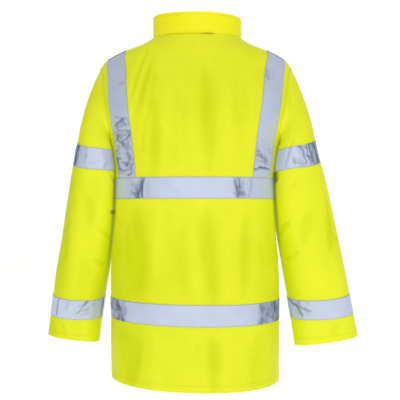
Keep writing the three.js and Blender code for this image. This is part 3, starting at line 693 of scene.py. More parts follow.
def rim_loops(height, width, around):
    """Loops of grid places round the edges, each with its neighbour inside the cloth."""
    top = [((0, c), (1, c)) for c in range(width)]
    foot = [((height - 1, c), (height - 2, c)) for c in range(width)]
    if around:
        return [top, foot[::-1]]
    right = [((r, width - 1), (r, width - 2)) for r in range(1, height - 1)]
    left = [((r, 0), (r, 1)) for r in range(1, height - 1)]
    return [top + right + foot[::-1] + left[::-1]]


# %% Building a cloth wall
def signed_volume(mesh):
    """Volume of a closed mesh, below zero where its faces point in."""
    mesh.calc_loop_triangles()
    places = np.empty(len(mesh.vertices) * 3)
    mesh.vertices.foreach_get("co", places)
    corners = np.empty(len(mesh.loop_triangles) * 3, int)
    mesh.loop_triangles.foreach_get("vertices", corners)
    a, b, c = places.reshape(-1, 3)[corners.reshape(-1, 3)].transpose(1, 0, 2)
    return float(np.einsum("ij,ij->i", a, np.cross(b, c)).sum()) / 6


def cloth_wall(name, points, inner, outer, around=False, normals=None, marks=None):
    """A mesh object of cloth between two offsets from a grid of points in millimetres."""
    height, width = points.shape[:2]
    if normals is None:
        normals = surface_normals(points, around)
    loops = rim_loops(height, width, around)
    middle = points + normals * (inner + outer) / 2
    faces_at = points.copy()
    for loop in loops:
        for place, inside in loop:
            step = points[inside] - points[place]
            faces_at[place] = points[place] + step * RIM_ROUND / max(np.linalg.norm(step), RIM_ROUND)
    size = height * width
    vertices = [(faces_at + normals * offset).reshape(-1, 3) for offset in (outer, inner)]
    index = np.arange(size).reshape(height, width)
    source = [np.arange(size), np.arange(size)]
    if around:
        index = np.concatenate([index, index[:, :1]], axis=1)
    a, b, c, d = index[:-1, :-1], index[1:, :-1], index[1:, 1:], index[:-1, 1:]
    quads = np.stack([a, b, c, d], axis=-1).reshape(-1, 4)
    faces = [quads, quads[:, ::-1] + size]
    first = 2 * size
    for loop in loops:
        places = np.array([place for place, _ in loop])
        here = places[:, 0] * width + places[:, 1]
        rim = first + np.arange(len(loop))
        first += len(loop)
        vertices.append(middle[places[:, 0], places[:, 1]])
        source.append(here)
        ahead, rim_ahead = np.roll(here, -1), np.roll(rim, -1)
        faces.append(np.stack([here, ahead, rim_ahead, rim], axis=-1))
        faces.append(np.stack([rim, rim_ahead, ahead + size, here + size], axis=-1))
    vertices, source = np.concatenate(vertices) * MM, np.concatenate(source)
    mesh = bpy.data.meshes.new(name)
    mesh.from_pydata(vertices, [], np.concatenate(faces).tolist())
    flat = flat_places(points, around).reshape(-1, 2)[source] * MM
    corners = np.empty(len(mesh.loops), int)
    mesh.loops.foreach_get("vertex_index", corners)
    mesh.uv_layers.new(name="cloth").data.foreach_set("uv", flat[corners].ravel())
    for label, values in (marks or {}).items():
        layer = mesh.attributes.new(label, "FLOAT", "POINT")
        layer.data.foreach_set("value", np.asarray(values, float).reshape(-1)[source])
    if signed_volume(mesh) < 0:
        mesh.flip_normals()
    mesh.shade_smooth()
    mesh.set_sharp_from_angle(angle=math.radians(SHARP_EDGE))
    piece = bpy.data.objects.new(name, mesh)
    bpy.context.scene.collection.objects.link(piece)
    return piece


# %% Measuring, dividing and dressing
# Lines of points that are sewn: points, normals, height above them, and whether they close
CLOTH_SEWING = []
TAPE_SEWING = []
SEAM_HEIGHT = 0.15


def cloth_area(piece):
    """Area of one face of a cloth wall, in square metres."""
    return sum(polygon.area for polygon in piece.data.polygons) / 2


def subdivide(stops, steps):
    """Even steps between stops, each stretch with its own number of steps."""
    parts = [np.linspace(a, b, n, endpoint=False) for a, b, n in zip(stops, stops[1:], steps)]
    return np.concatenate([*parts, [stops[-1]]])


def dress(piece, node, material):
    """Gives a piece its finish and body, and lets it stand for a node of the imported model."""
    piece.data.materials.append(material)
    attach(piece, "jacket")
    if node:
        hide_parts(node)
    return piece


# %% [markdown]
# ## Coated oxford cloth
#
# The real cloth is 300 denier polyester oxford, a plain weave dyed fluorescent yellow, with a
# waterproof coating on its inner face. The weave is matt with a slight sheen along its threads.
# The dye turns ultraviolet and blue light to yellow, so the cloth looks a little brighter than
# white paper would. A weak glow of its own colour stands for that. Its folds, its crevices and
# the sides turned from the light are darkened with painted shade. The threads are 0.4 mm
# apart, which is too fine for this picture, so they are drawn at 2.4 mm.

# %% Yellow cloth material
THREAD_DRAWN = 2.4
SLUB_LENGTH, SLUB_WIDTH = 22, 3
# How much each of them deepens the yellow. Slubs and clouds vary the tone at random; the fold tone is
# painted shade in the folds
SLUB_TONE, CLOUD_TONE, FOLD_SHADE_TONE = 0.45, 0.35, 0.62


def bands(period):
    """Scale of a wave texture whose bands are this many millimetres apart."""
    return math.pi / (10 * period * MM)


def yellow_oxford(name, light, deep):
    """Oxford polyester between a light yellow and a deep one, with painted shade from its fold and shade
    marks.
    """
    material, tree = new_material(name)
    uv = add(tree, "ShaderNodeUVMap", uv_map="cloth").outputs["UV"]
    warp, weft = (
        add(tree, "ShaderNodeTexWave", {"Scale": bands(THREAD_DRAWN), "Distortion": 0.6, "Detail": 1.0},
            {"Vector": uv}, wave_type="BANDS", bands_direction=way, wave_profile="SIN").outputs["Fac"]
        for way in ("X", "Y")
    )
    weave = add(tree, "ShaderNodeMath", links={0: warp, 1: weft}, operation="MAXIMUM").outputs[0]
    slub_scale = (1 / (SLUB_LENGTH * MM), 1 / (SLUB_WIDTH * MM), 1)
    stretched = add(tree, "ShaderNodeMapping", {"Scale": slub_scale}, {"Vector": uv}).outputs[0]
    slub = add(tree, "ShaderNodeTexNoise", {"Scale": 1.0, "Detail": 2.0},
               {"Vector": stretched}).outputs["Fac"]
    cloud = add(tree, "ShaderNodeTexNoise", {"Scale": 14.0, "Detail": 3.0},
                {"Vector": uv}).outputs["Fac"]
    fold_shade = add(tree, "ShaderNodeAttribute", attribute_name="fold_shade").outputs["Fac"]
    shade = add(tree, "ShaderNodeAttribute", attribute_name="shade").outputs["Fac"]
    tone = add(tree, "ShaderNodeMath", {1: SLUB_TONE}, {0: slub}, operation="MULTIPLY").outputs[0]
    tone = add(tree, "ShaderNodeMath", {1: CLOUD_TONE}, {0: cloud, 2: tone},
               operation="MULTIPLY_ADD").outputs[0]
    # Painted shade: the fold mark deepens the yellow in folds and on sides turned from the light
    tone = add(tree, "ShaderNodeMath", {1: FOLD_SHADE_TONE}, {0: fold_shade, 2: tone},
               operation="MULTIPLY_ADD", use_clamp=True).outputs[0]
    open_cloth = add(tree, "ShaderNodeMix", {"A": linear(light), "B": linear(deep)}, {"Factor": tone},
                     data_type="RGBA").outputs["Result"]
    # Painted shade: the shade mark darkens crevices and the collar's foot to dark olive
    colour = add(tree, "ShaderNodeMix", {"B": linear("343C00")}, {"Factor": shade, "A": open_cloth},
                 data_type="RGBA").outputs["Result"]
    bump = add(tree, "ShaderNodeBump", {"Strength": 0.12, "Distance": 0.4 * MM}, {"Height": weave})
    shader = add(
        tree, "ShaderNodeBsdfPrincipled",
        {"Roughness": 0.5, "IOR": 1.5, "Specular IOR Level": 0.18,
         "Emission Color": linear("E2E800"), "Emission Strength": 0.1},
        {"Base Color": colour, "Normal": bump.outputs["Normal"]})
    add(tree, "ShaderNodeOutputMaterial", links={"Surface": shader.outputs["BSDF"]})
    return material


YELLOW = yellow_oxford("oxford_polyester_yellow", "F7F936", "D2DE00")
# The collar's copy of the cloth is lighter and warmer: painted light, as if lit from above
TOP_LIT_COLLAR_YELLOW = yellow_oxford("oxford_polyester_yellow_collar_top_lit", "FFF82C", "F2EA00")

# %% [markdown]
# ## Back and fronts
#
# The back is cut in one piece and the two fronts meet at the zip. All three reach from the neck
# and shoulder seams to the hem. Their grids take about 4 mm a step, fine enough for creases.

# %% Body panels
COLUMN_STEPS = (25, 15, 10, 18)
ROW_STEPS = (60, 20, 14, 60, 14, 36)
BODY_ROWS = subdivide((0, *ROW_HEIGHTS[0]), ROW_STEPS)
HALF_COLUMNS = subdivide(KNOTS, COLUMN_STEPS)
# The hem is sewn 17 mm above its edge and the front edges 8 mm in, from a little below the
# neck, counted in grid steps
HEM_STITCH = -5
FRONT_STITCH = 2
FRONT_STITCH_TOP = 6
# Depth of a fold, in millimetres, that gets the deepest painted fold shade
BODY_FOLD = 6


def both_sides(make, columns):
    """A patch across the centre, made of its right half and its left half."""
    right = make(-1, columns[:0:-1])
    left = make(1, columns)
    return [np.concatenate(pair, axis=1) for pair in zip(right, left)]


def make_panel(name, face, side=None):
    """The back, or one front, with its hem and front edge sewn."""
    def half(hand, columns):
        return body_cloth(face, hand, columns, BODY_ROWS)
    if side is None:
        point, normal, _, _, depth = both_sides(half, HALF_COLUMNS)
    else:
        order = HALF_COLUMNS if side > 0 else HALF_COLUMNS[::-1]
        point, normal, _, _, depth = half(side, order)
    fold_shade = np.clip(depth / BODY_FOLD, 0, 1)
    piece = cloth_wall(f"{name}_cloth", point, -CLOTH, 0, normals=normal, marks={"fold_shade": fold_shade})
    CLOTH_SEWING.append((point[HEM_STITCH, 1:-1], normal[HEM_STITCH, 1:-1], SEAM_HEIGHT, False))
    if side is not None:
        line = (slice(FRONT_STITCH_TOP, HEM_STITCH), FRONT_STITCH if side > 0 else -1 - FRONT_STITCH)
        CLOTH_SEWING.append((point[line], normal[line], SEAM_HEIGHT, False))
    return dress(piece, name, YELLOW)


back = make_panel("back", 1)
front_left = make_panel("front_left", -1, 1)
front_right = make_panel("front_right", -1, -1)
for panel in (back, front_left, front_right):
    print(panel.name, len(panel.data.polygons), "faces", round(cloth_area(panel), 3), "m2")

# %% [markdown]
# ## Glass bead tape
#
# Retroreflective tape is a layer of tiny glass beads half sunk in aluminium on a cloth backing.
# It is a soft satin grey that throws light back where it came from, and a weak glow of its own
# colour stands for that. Seen face on it is bright and slightly blue, and a crease turns the
# beads away and shows as a dark line. That dark is painted shade: the piece marks its creases,
# its facets and its bends where they turn from the light, so the lines stay in the cloth. The
# cut edges are bound by the sewing, which shows as a thin darker line. Real beads are 0.05 mm
# across, far too fine to show, so they are drawn at 1.6 mm.

# %% Reflective tape material
BEAD_DRAWN = 1.6
EDGE_LINE = 1.1
EDGE_DARK = 0.4


def bead_tape():
    """Silver tape of glass beads, with painted shade where its creases turn the beads away from the light.
    """
    material, tree = new_material("glass_bead_tape_silver")
    uv = add(tree, "ShaderNodeUVMap", uv_map="cloth").outputs["UV"]
    crease = add(tree, "ShaderNodeAttribute", attribute_name="crease").outputs["Fac"]
    edge = add(tree, "ShaderNodeAttribute", attribute_name="edge").outputs["Fac"]
    line = add(tree, "ShaderNodeMapRange",
               {"From Min": 0.0, "From Max": EDGE_LINE, "To Min": EDGE_DARK, "To Max": 0.0},
               {"Value": edge}, interpolation_type="SMOOTHSTEP").outputs["Result"]
    cloud = add(tree, "ShaderNodeTexNoise", {"Scale": 22.0, "Detail": 4.0, "Roughness": 0.6},
                {"Vector": uv}).outputs["Fac"]
    worn = add(tree, "ShaderNodeMapRange",
               {"From Min": 0.3, "From Max": 0.75, "To Min": 0.0, "To Max": 0.35},
               {"Value": cloud}).outputs["Result"]
    face_colour = add(tree, "ShaderNodeMix", {"A": linear("C6CDE2"), "B": linear("A8B8D2")},
                      {"Factor": worn}, data_type="RGBA").outputs["Result"]
    # The crease mark is painted shade and the edge line is the sewing; the darker of them turns the face
    # deep blue grey
    dark = add(tree, "ShaderNodeMath", links={0: crease, 1: line}, operation="MAXIMUM",
               use_clamp=True).outputs[0]
    colour = add(tree, "ShaderNodeMix", {"B": linear("263E64")}, {"Factor": dark, "A": face_colour},
                 data_type="RGBA").outputs["Result"]
    beads = add(tree, "ShaderNodeTexVoronoi", {"Scale": 1 / (BEAD_DRAWN * MM)},
                {"Vector": uv}).outputs["Distance"]
    bump = add(tree, "ShaderNodeBump", {"Strength": 0.06, "Distance": 0.3 * MM}, {"Height": beads})
    shader = add(
        tree, "ShaderNodeBsdfPrincipled",
        {"Roughness": 0.42, "Metallic": 0.22, "Emission Strength": 0.12},
        {"Base Color": colour, "Emission Color": colour, "Normal": bump.outputs["Normal"]})
    add(tree, "ShaderNodeOutputMaterial", links={"Surface": shader.outputs["BSDF"]})
    return material


SILVER = bead_tape()

# %% [markdown]
# ## Tape round the body
#
# One band goes round the chest and one round the hips, each cut at the side seams and the zip.
# A tape over each shoulder joins the chest band behind to the chest band in front. The tape is
# stiffer than the cloth and its layers don't stretch together, so it crumples in small sharp
# creases where the cloth below it bends. The largest are listed one by one, and zones of random
# crumple lie round them.

# %% Body tape
TAPE_FOOT = 0.3
TAPE_TOP = 1.0
TAPE_FADE = 3.5
# Each lapped crease is a start, an end, a bow, how far its sunk side with painted shade reaches, and a
# strength
TAPE_CREASES = {
    1: [
        ((193, -230), (154, -209), 6.5, -11, 0.62),
        ((150, -224), (186, -233), -5, 7, 0.45),
        ((181, -236), (189, -262), 3, 12, 0.6),
        ((149, -244), (170, -264), 2, -5, 0.85),
        ((176, -258), (158, -284), -4, 9, 0.3),
        ((186, -268), (180, -286), 3, 8, 0.4),
        ((151, -288), (165, -324), 4, 7, 0.62),
        ((192, -309), (170, -303), 2, 4, 0.9),
        ((188, -324), (150, -327), -6, 6, 0.55),
        ((141, -334), (162, -341), 2, 4, 0.9),
        ((186, -344), (158, -336), 3, 7, 0.3),
        ((184, -134), (158, -126), 3, 6, 0.35),
        ((-128, -321), (-152, -326), -3, -6, 0.8),
        ((-146, -326), (-180, -329), 4, -6, 0.95),
        ((-134, -296), (-176, -312), 3, 9, 0.4),
        ((-131, -284), (-158, -288), -3, 7, 0.35),
        ((-140, -310), (-176, -318), 3, 5, 0.3),
        ((-152, -96), (-176, -122), 3, 12, 0.3),
        ((112, -343), (117, -404), -5, -8, 0.8),
        ((122, -346), (141, -404), 4, 9, 0.5),
        ((136, -372), (132, -404), 2, 7, 0.4),
        ((-91, -345), (-102, -403), 2, -6, 0.75),
        ((-104, -344), (-101, -400), 2, 5, 0.6),
        ((-113, -352), (-118, -400), -6, 9, 0.42),
        ((-130, -346), (-122, -404), 3, 10, 0.25),
    ],
    -1: [
        ((118, -344), (130, -404), 4, 9, 0.6),
        ((136, -346), (142, -402), -3, 6, 0.4),
        ((-112, -344), (-120, -404), -4, 8, 0.55),
        ((184, -206), (150, -214), 5, -9, 0.55),
        ((186, -240), (156, -226), 3, 8, 0.4),
        ((178, -312), (146, -318), 4, -6, 0.7),
        ((-186, -224), (-152, -214), 5, 9, 0.5),
        ((-152, -250), (-182, -262), 3, 8, 0.4),
        ((-176, -322), (-144, -316), -4, 6, 0.75),
    ],
}
# Centre, reach and strength of the crumpled zones of the tape. The last is all of it, faintly.
TAPE_ZONES = {
    1: [((168, -232), 30, 1.0), ((166, -275), 26, 0.7), ((164, -318), 30, 0.9), ((-152, -300), 34, 0.55),
        ((-160, -110), 26, 0.35), ((186, -667), 30, 0.7), ((-164, -670), 30, 0.7), ((-112, -374), 24, 0.6),
        ((132, -380), 22, 0.7), ((0, -400), 900, 0.06)],
    -1: [((160, -250), 40, 0.8), ((-158, -262), 40, 0.8), ((170, -668), 34, 0.8), ((-170, -668), 34, 0.8),
         ((0, -400), 900, 0.06)],
}
# Strips where the tape is bunched and turns away from the light, painted with shade: place and
# half width at the top, the same at the foot, heights of the top and foot, and strength
TAPE_STRIPS = {
    1: [(196, 16, 178, 16, -634, -700, 1.15), (170, 9, 164, 10, -640, -697, 0.5),
        (-168, 26, -168, 26, -640, -702, 0.85), (-196, 12, -200, 10, -636, -700, 0.9),
        (120, 7, 132, 14, -342, -404, 0.5), (-98, 7, -104, 9, -342, -404, 0.5)],
    -1: [(176, 14, 174, 15, -638, -697, 0.7), (-176, 14, -172, 14, -638, -697, 0.7),
         (-118, 5, -124, 12, -344, -402, 0.4)],
}
# Facets are the flat faces of the crumple: their sizes and depths, how dark the most turned one
# is painted and at what slope, and how much steepness, turning sideways and turning down count
FACET_SIZE, FACET_DEPTH = 14, 2.6
FINE_SIZE, FINE_DEPTH = 6.5, 0.6
FACET_TONE, FACET_TURN = 0.5, 0.2
STEEP_SHARE, SIDEWAYS_SHARE, DOWN_SHARE = 0.6, 0.45, 0.6
ZONE_EDGE = 1.6
# Streaks run down a bunched strip: size, depth, how dark its painted shade is, how much streaks vary it
STREAK_SIZE, STREAK_DEPTH = 5.5, 1.3
STREAK_TONE, STREAK_SWING = 0.46, 0.45
STREAK_STRETCH = 0.3
STRIP_SIDE, STRIP_END = 4, 3
# How far a crease strays from its line, and the crisp edge, tip width and depth of its lap
WANDER, WANDER_SIZE = 1.7, 11
LAP_EDGE, LAP_TIP, LAP_DEPTH = 1.4, 0.35, 2.0
DARKEST = 0.97
# The tape gets painted shade where it bends over the shoulder and turns from the light: how far its face
# looks back or forward
BEND_LEAST, BEND_MOST = 0.05, 0.58
BEND_EASE = 0.1
BEND_DARK = 0.75
FACING_UP = 0.5


# %% Crumpling the tape
def lapped_crease(x, z, start, end, bow, reach, strength):
    """How far one side of a crease has turned: crisp at its line, easing off over its reach."""
    run = np.subtract(end, start)
    length = np.hypot(*run)
    ux, uz = run / length
    along = ((x - start[0]) * ux + (z - start[1]) * uz) / length
    side = (x - start[0]) * uz - (z - start[1]) * ux - 4 * bow * along * (1 - along)
    side = side * np.sign(reach)
    width = abs(reach) * mix(LAP_TIP, 1, np.sin(math.pi * np.clip(along, 0, 1)))
    turned_down = np.clip(1 - side / width, 0, 1) * ease(1 + side / LAP_EDGE)
    fade = ease(along / CREASE_FADE) * ease((1 - along) / CREASE_FADE)
    return strength * turned_down * fade


def in_strip(x, z, strip):
    """One inside a bunched strip of tape, falling to zero at its sides and ends."""
    top_x, top_half, foot_x, foot_half, top, foot, _ = strip
    down = np.clip((top - z) / (top - foot), 0, 1)
    side = mix(top_half, foot_half, down) - np.abs(x - mix(top_x, foot_x, down))
    ends = [ease((drop + STRIP_END) / (2 * STRIP_END)) for drop in (top - z, z - foot)]
    return ease(side / STRIP_SIDE) * ends[0] * ends[1]


def tape_relief(x, z, creases, zones, strips, edge, seed):
    """Depth of the creases of a tape, and the painted shade where each place turns away from the light."""
    def foil(x, z):
        near = 0
        for centre, reach, deep in zones:
            away = ((x - centre[0]) ** 2 + (z - centre[1]) ** 2) / reach**2
            near = near + deep * np.exp(-away * ZONE_EDGE)
        large = FACET_DEPTH * facets(x, z, FACET_SIZE, seed)
        return near * (large + FINE_DEPTH * facets(x, z, FINE_SIZE, seed + 1))

    off_x = x + WANDER * ripple(x, z, WANDER_SIZE, seed + 2)
    off_z = z + WANDER * ripple(x, z, WANDER_SIZE, seed + 3)
    open_tape = np.ones(x.shape)
    for row in creases:
        open_tape = open_tape * (1 - lapped_crease(off_x, off_z, *row))
    slope_x = (foil(x + 1, z) - foil(x - 1, z)) / 2
    slope_z = (foil(x, z + 1) - foil(x, z - 1)) / 2
    away = STEEP_SHARE * np.hypot(slope_x, slope_z) + SIDEWAYS_SHARE * slope_x - DOWN_SHARE * slope_z
    facing = 1 - FACET_TONE * ease(away / FACET_TURN)
    streaks = facets(off_x, off_z * STREAK_STRETCH, STREAK_SIZE, seed + 4)
    bunched = sum(strip[-1] * in_strip(off_x, z, strip) for strip in strips)
    streaks = streaks * np.minimum(bunched, 1)
    shaded = np.clip(STREAK_TONE * bunched + STREAK_SWING * streaks, 0, 1)
    # Painted shade of the laps, of facets turned from the light and of bunched strips
    dark = 1 - open_tape * facing * (1 - shaded)
    depth = LAP_DEPTH * (1 - open_tape) + foil(x, z) + STREAK_DEPTH * streaks
    return depth * ease(edge / TAPE_FADE), np.clip(dark, 0, DARKEST)


# %% Tape of the body
def below_seam(points):
    """Distance of each place of a grid down its column from the seam at its top."""
    steps = np.linalg.norm(np.diff(points, axis=0), axis=-1)
    return np.concatenate([np.zeros((1, points.shape[1])), steps.cumsum(axis=0)])


def make_body_tape(face, side, columns, rows, row_edge=True):
    """One piece of tape on the back or a front. Its sewn edges are its rows or its columns."""
    def half(hand, some):
        point, normal, x, z, _ = body_cloth(face, hand, some, rows, pressed=False)
        if row_edge:
            share = (rows - rows[0]) / (rows[-1] - rows[0])
            edge = np.broadcast_to((np.minimum(share, 1 - share) * TAPE_WIDTH)[:, None], x.shape)
        else:
            cells = np.minimum(some - INNER_COLUMN, OUTER_COLUMN - some)
            edge = np.broadcast_to((cells * BRACE_CELL)[None, :], x.shape)
        placed = (TAPE_CREASES[face], TAPE_ZONES[face], TAPE_STRIPS[face])
        depth, dark = tape_relief(x, z, *placed, edge, BODY_TAPE_SEED + face)
        # Painted shade where the tape bends over the shoulder
        level = np.abs(normal[..., 1])
        bend = ease((BEND_MOST - level) / BEND_EASE) * ease((level - BEND_LEAST) / BEND_EASE)
        bend = bend * (normal[..., 2] > FACING_UP)
        dark = np.maximum(dark, BEND_DARK * bend)
        point = point - normal * depth[..., None]
        return point, normal, edge, dark
    if side is None:
        point, normal, edge, dark = both_sides(half, columns)
    else:
        point, normal, edge, dark = half(side, columns if side > 0 else columns[::-1])
    return point, normal, {"edge": edge, "crease": dark}


BODY_TAPE_SEED = 31
# The tapes have steps of about 2 mm
BAND_COLUMNS = subdivide(KNOTS, (50, 32, 22, 44))
BAND_STEPS = 25
BRACE_COLUMNS = np.linspace(INNER_COLUMN, OUTER_COLUMN, 25)
# A shoulder tape ends 0.4 mm above the chest band, where a row is 28.7 mm high
BRACE_GAP = 0.4 / 28.7
BRACE_ROWS = subdivide((0, YOKE_ROWS, CHEST_ROW - BRACE_GAP), (130, 44))

# Each band's row, and the lengths of tape cut for the back and for a front, in metres
BAND_CUTS = (("chest", CHEST_ROW, 0.56, 0.27), ("hip", HIP_ROW, 0.58, 0.28))
BAND_PARTS = (("back", 1, None), ("front_left", -1, 1), ("front_right", -1, -1))
for band, row, back_cut, front_cut in BAND_CUTS:
    rows = np.linspace(row, row + 1, BAND_STEPS + 1)
    for part, face, side in BAND_PARTS:
        name = f"{band}_tape_{part}"
        point, normal, marks = make_body_tape(face, side, BAND_COLUMNS, rows)
        piece = cloth_wall(f"{name}_strip", point, TAPE_FOOT, TAPE_TOP, normals=normal, marks=marks)
        dress(piece, name, SILVER)
        TAPE_SEWING.extend((point[i, 1:-1], normal[i, 1:-1], TAPE_TOP, False) for i in (1, -2))
        cut = back_cut if face > 0 else front_cut
        print(piece.name, round(cloth_area(piece), 4), "m2")

for name, side in (("left", 1), ("right", -1)):
    behind = make_body_tape(1, side, BRACE_COLUMNS, BRACE_ROWS, row_edge=False)
    before = make_body_tape(-1, side, BRACE_COLUMNS, BRACE_ROWS, row_edge=False)
    point, normal = (np.concatenate([behind[i][:0:-1], before[i]]) for i in (0, 1))
    marks = {key: np.concatenate([behind[2][key][:0:-1], before[2][key]]) for key in behind[2]}
    piece = cloth_wall(f"brace_{name}_strip", point, TAPE_FOOT, TAPE_TOP, normals=normal, marks=marks)
    dress(piece, f"brace_{name}", SILVER)
    TAPE_SEWING.extend((point[:, i], normal[:, i], TAPE_TOP, False) for i in (1, -2))
    print(piece.name, round(cloth_area(piece), 4), "m2")

# %% [markdown]
# ## Sleeves
#
# A set-in sleeve is one piece, folded into a tube and sewn round the armhole. Its head rises
# over the shoulder and its tube hangs a little forward, as an arm does. Between the armhole and
# the first level ring, each line of cloth runs on a smooth curve that leaves the seam outwards
# and arrives going down, which is how the head of a real sleeve rolls over.

# %% Sleeve tables
SLEEVE_COLUMNS = 2 * YOKE_ROWS
TAPE_LIFT = -0.1
SLEEVE_CLEAR = 4.5
PRESS_SOFTNESS = 5
# The head of the sleeve: how much its lines turn down at the top and under the arm, how far out
# they aim, how far they run on at both ends, as shares of their length, and the drop, in
# millimetres, over which they meet the level ring. The seam opens out over a quarter of a row.
CAP = {"turn": (0.2, 0.7), "spread": 1.3, "reach": (0.2, 0.33), "ring": 0.4, "glance": 4}
SEAM_OPENING = 4
SLEEVE_LEVELS = {
    "left": table(
        "z outer back",
        (-258, 14, -4),
        (-268, 9, -9),
        (-319, 7, -9),
        (-490, 6, -9),
        (-637.5, 5, -9),
        (-688.5, 5, -8),
        (-751, 10, 0),
    ),
    "right": table(
        "z outer back",
        (-257, 16, -3),
        (-266, 14, -6),
        (-319, 13, -5),
        (-490, 9, -7),
        (-636, 6, -9),
        (-687, 6, -7),
        (-752, 12, -2),
    ),
}
SLEEVE_SECTIONS = {
    "left": table(
        "z x half depth y square",
        (-235, 241.5, 46, 82, 3, 2.6),
        (-290, 244.5, 51.5, 87, 2, 2.9),
        (-330, 246, 59, 88, 0, 2.9),
        (-410, 257, 63, 84, -4, 2.6),
        (-490, 269.5, 64.5, 76, -8, 2.3),
        (-570, 284, 66.5, 67, -14, 2.2),
        (-650, 298.5, 66, 57, -28, 2.2),
        (-738, 312.5, 67, 45, -44, 2.2),
        (-780, 318, 67, 42, -50, 2.2),
    ),
    "right": table(
        "z x half depth y square",
        (-235, 240.5, 47, 82, 3, 2.6),
        (-290, 244, 54, 86, 2, 2.9),
        (-330, 246.5, 65.5, 86, 0, 2.9),
        (-410, 258.5, 74.5, 79, -2, 2.7),
        (-490, 275.5, 76.5, 68, -4, 2.4),
        (-570, 292, 78, 58, -7, 2.3),
        (-650, 307.5, 79, 46, -11, 2.2),
        (-738, 324, 81, 34, -15, 2.2),
        (-780, 331, 82, 30, -17, 2.2),
    ),
}


# %% Sleeve surface
def sleeve_surface(hand, angle, z):
    """Points of a sleeve's tube at angles round it and heights."""
    rows = SLEEVE_SECTIONS[hand]
    power = 2 / read(rows, "square", z)

    def reach(value):
        return np.sign(value) * np.abs(value) ** power
    return np.stack([
        read(rows, "x", z) + read(rows, "half", z) * reach(np.cos(angle)),
        read(rows, "y", z) + read(rows, "depth", z) * reach(np.sin(angle)),
        z + 0 * angle,
    ], axis=-1)


def clear_of_body(point, side, gap):
    """Keeps sleeve points outside the body by a gap, where the body has cloth."""
    made = point.copy()
    for face in FACES:
        x, y, z = np.moveaxis(point, -1, 0)
        half, depth, square, shift = ring(z, face)
        bare = (z > UNDERARM) & (np.abs(y) < read(ARMHOLE, FACES[face], z))
        here = (y < 0) if face < 0 else (y >= 0)
        here = here & ~bare & (np.abs(y) < depth + gap)
        limit = across(half + gap, y, depth + gap, square) + side * shift
        away = x - limit
        pressed = limit + (away + np.hypot(away, PRESS_SOFTNESS)) / 2
        made[..., 0] = np.where(here, pressed, made[..., 0])
    return made


def mirrored(points, side):
    """Points of the left side as they are, or turned over to the right."""
    return points * np.array([side, 1, 1])


def armhole_spot(side, face, column, rows):
    """Points and normals of the body beside an armhole."""
    point, normal, _, _, _ = body_grid(face, side, [column], np.clip(rows, 0, YOKE_ROWS))
    point[..., 1] += face * SEAM_HALF
    return mirrored(point[:, 0], side), mirrored(normal[:, 0], side)


def cap_curves(side, places, end, below):
    """Control points of the curves from the armhole to the first level ring."""
    start, leave = np.empty_like(end), np.empty_like(end)
    for face in FACES:
        chosen = places <= YOKE_ROWS if face > 0 else places > YOKE_ROWS
        rows = places[chosen] if face > 0 else SLEEVE_COLUMNS - places[chosen]
        point, normal = armhole_spot(side, face, EDGE_COLUMN, rows)
        run = armhole_spot(side, face, EDGE_COLUMN, rows + 1)[0]
        run = run - armhole_spot(side, face, EDGE_COLUMN, rows - 1)[0]
        out = unit(np.cross(run, normal))
        inside = armhole_spot(side, face, OUTER_COLUMN, rows)[0] - point
        out = np.where((out * inside).sum(axis=-1, keepdims=True) > 0, -out, out)
        over = unit(np.cross([0, 1, 0], normal))
        out = mix(over, out, ease(rows)[:, None])
        out = unit(mix(np.array([0, 0, 1.0]), out, ease(YOKE_ROWS - rows)[:, None]))
        point[:, 1] *= np.minimum(1, np.minimum(rows, YOKE_ROWS - rows) * SEAM_OPENING)
        start[chosen] = point + (normal + out) * TAPE_LIFT
        leave[chosen] = out
    span = end - start
    length = np.linalg.norm(span, axis=-1, keepdims=True)
    under = np.sin(math.pi * places / SLEEVE_COLUMNS)[:, None]
    aim = unit(unit(span) + np.array([CAP["spread"], 0, 0]))
    leave = unit(mix(leave, aim, mix(*CAP["turn"], under)))
    arrive = unit(below - end)
    leaving = start + leave * length * mix(*CAP["reach"], under)
    return start, leaving, end - arrive * length * CAP["ring"], end


LEVEL_NAMES = ("underarm", "upperTop", "upperFoot", "elbow", "lowerTop", "lowerFoot", "cuff")


def sleeve_grid(hand, side, places, stretches):
    """Sleeve points. `stretches` lists pairs of a level name and the steps down to it."""
    levels = SLEEVE_LEVELS[hand]
    angle = 2 * math.pi * places / SLEEVE_COLUMNS

    def level_ring(k, drop=0.0):
        low = min(int(k), len(LEVEL_NAMES) - 2)
        z, outer, behind = (mix(levels[key][low], levels[key][low + 1], k - low)
                            for key in ("z", "outer", "back"))
        z = z + outer * np.cos(angle) + behind * np.sin(angle) - drop
        return clear_of_body(sleeve_surface(hand, angle, z), side, SLEEVE_CLEAR)

    rows = []
    for name, steps in stretches:
        k = LEVEL_NAMES.index(name)
        if k == 0:
            curve = cap_curves(side, places, level_ring(0), level_ring(0, CAP["glance"]))
            for t in np.linspace(0, 1, steps + 1):
                weights = ((1 - t)**3, 3 * t * (1 - t)**2, 3 * t * t * (1 - t), t**3)
                point = sum(w * c for w, c in zip(weights, curve))
                if 0 < t < 1:
                    point = clear_of_body(point, side, mix(TAPE_LIFT, SLEEVE_CLEAR, ease(t)))
                rows.append(point)
        else:
            first = 1 if rows else 0
            rows += [level_ring(k - 1 + step / steps) for step in range(first, steps + 1)]
    return mirrored(np.array(rows), side)


# %% [markdown]
# ## Creases of the sleeves
#
# A sleeve creases where it presses on the body under the arm, and again round the elbow. A
# crease here is placed by how far round the sleeve it lies, in twentieths of a turn from the
# outer side over the back, and by its height.

# %% Sleeve creases
TURN_STEP = 22.0
# The ripples of a sleeve are drawn round a tube of this radius, away from where they repeat
ROUND_RADIUS, ROUND_OFFSET = 70, 500
SLEEVE_SEED = {"left": 21, "right": 24}
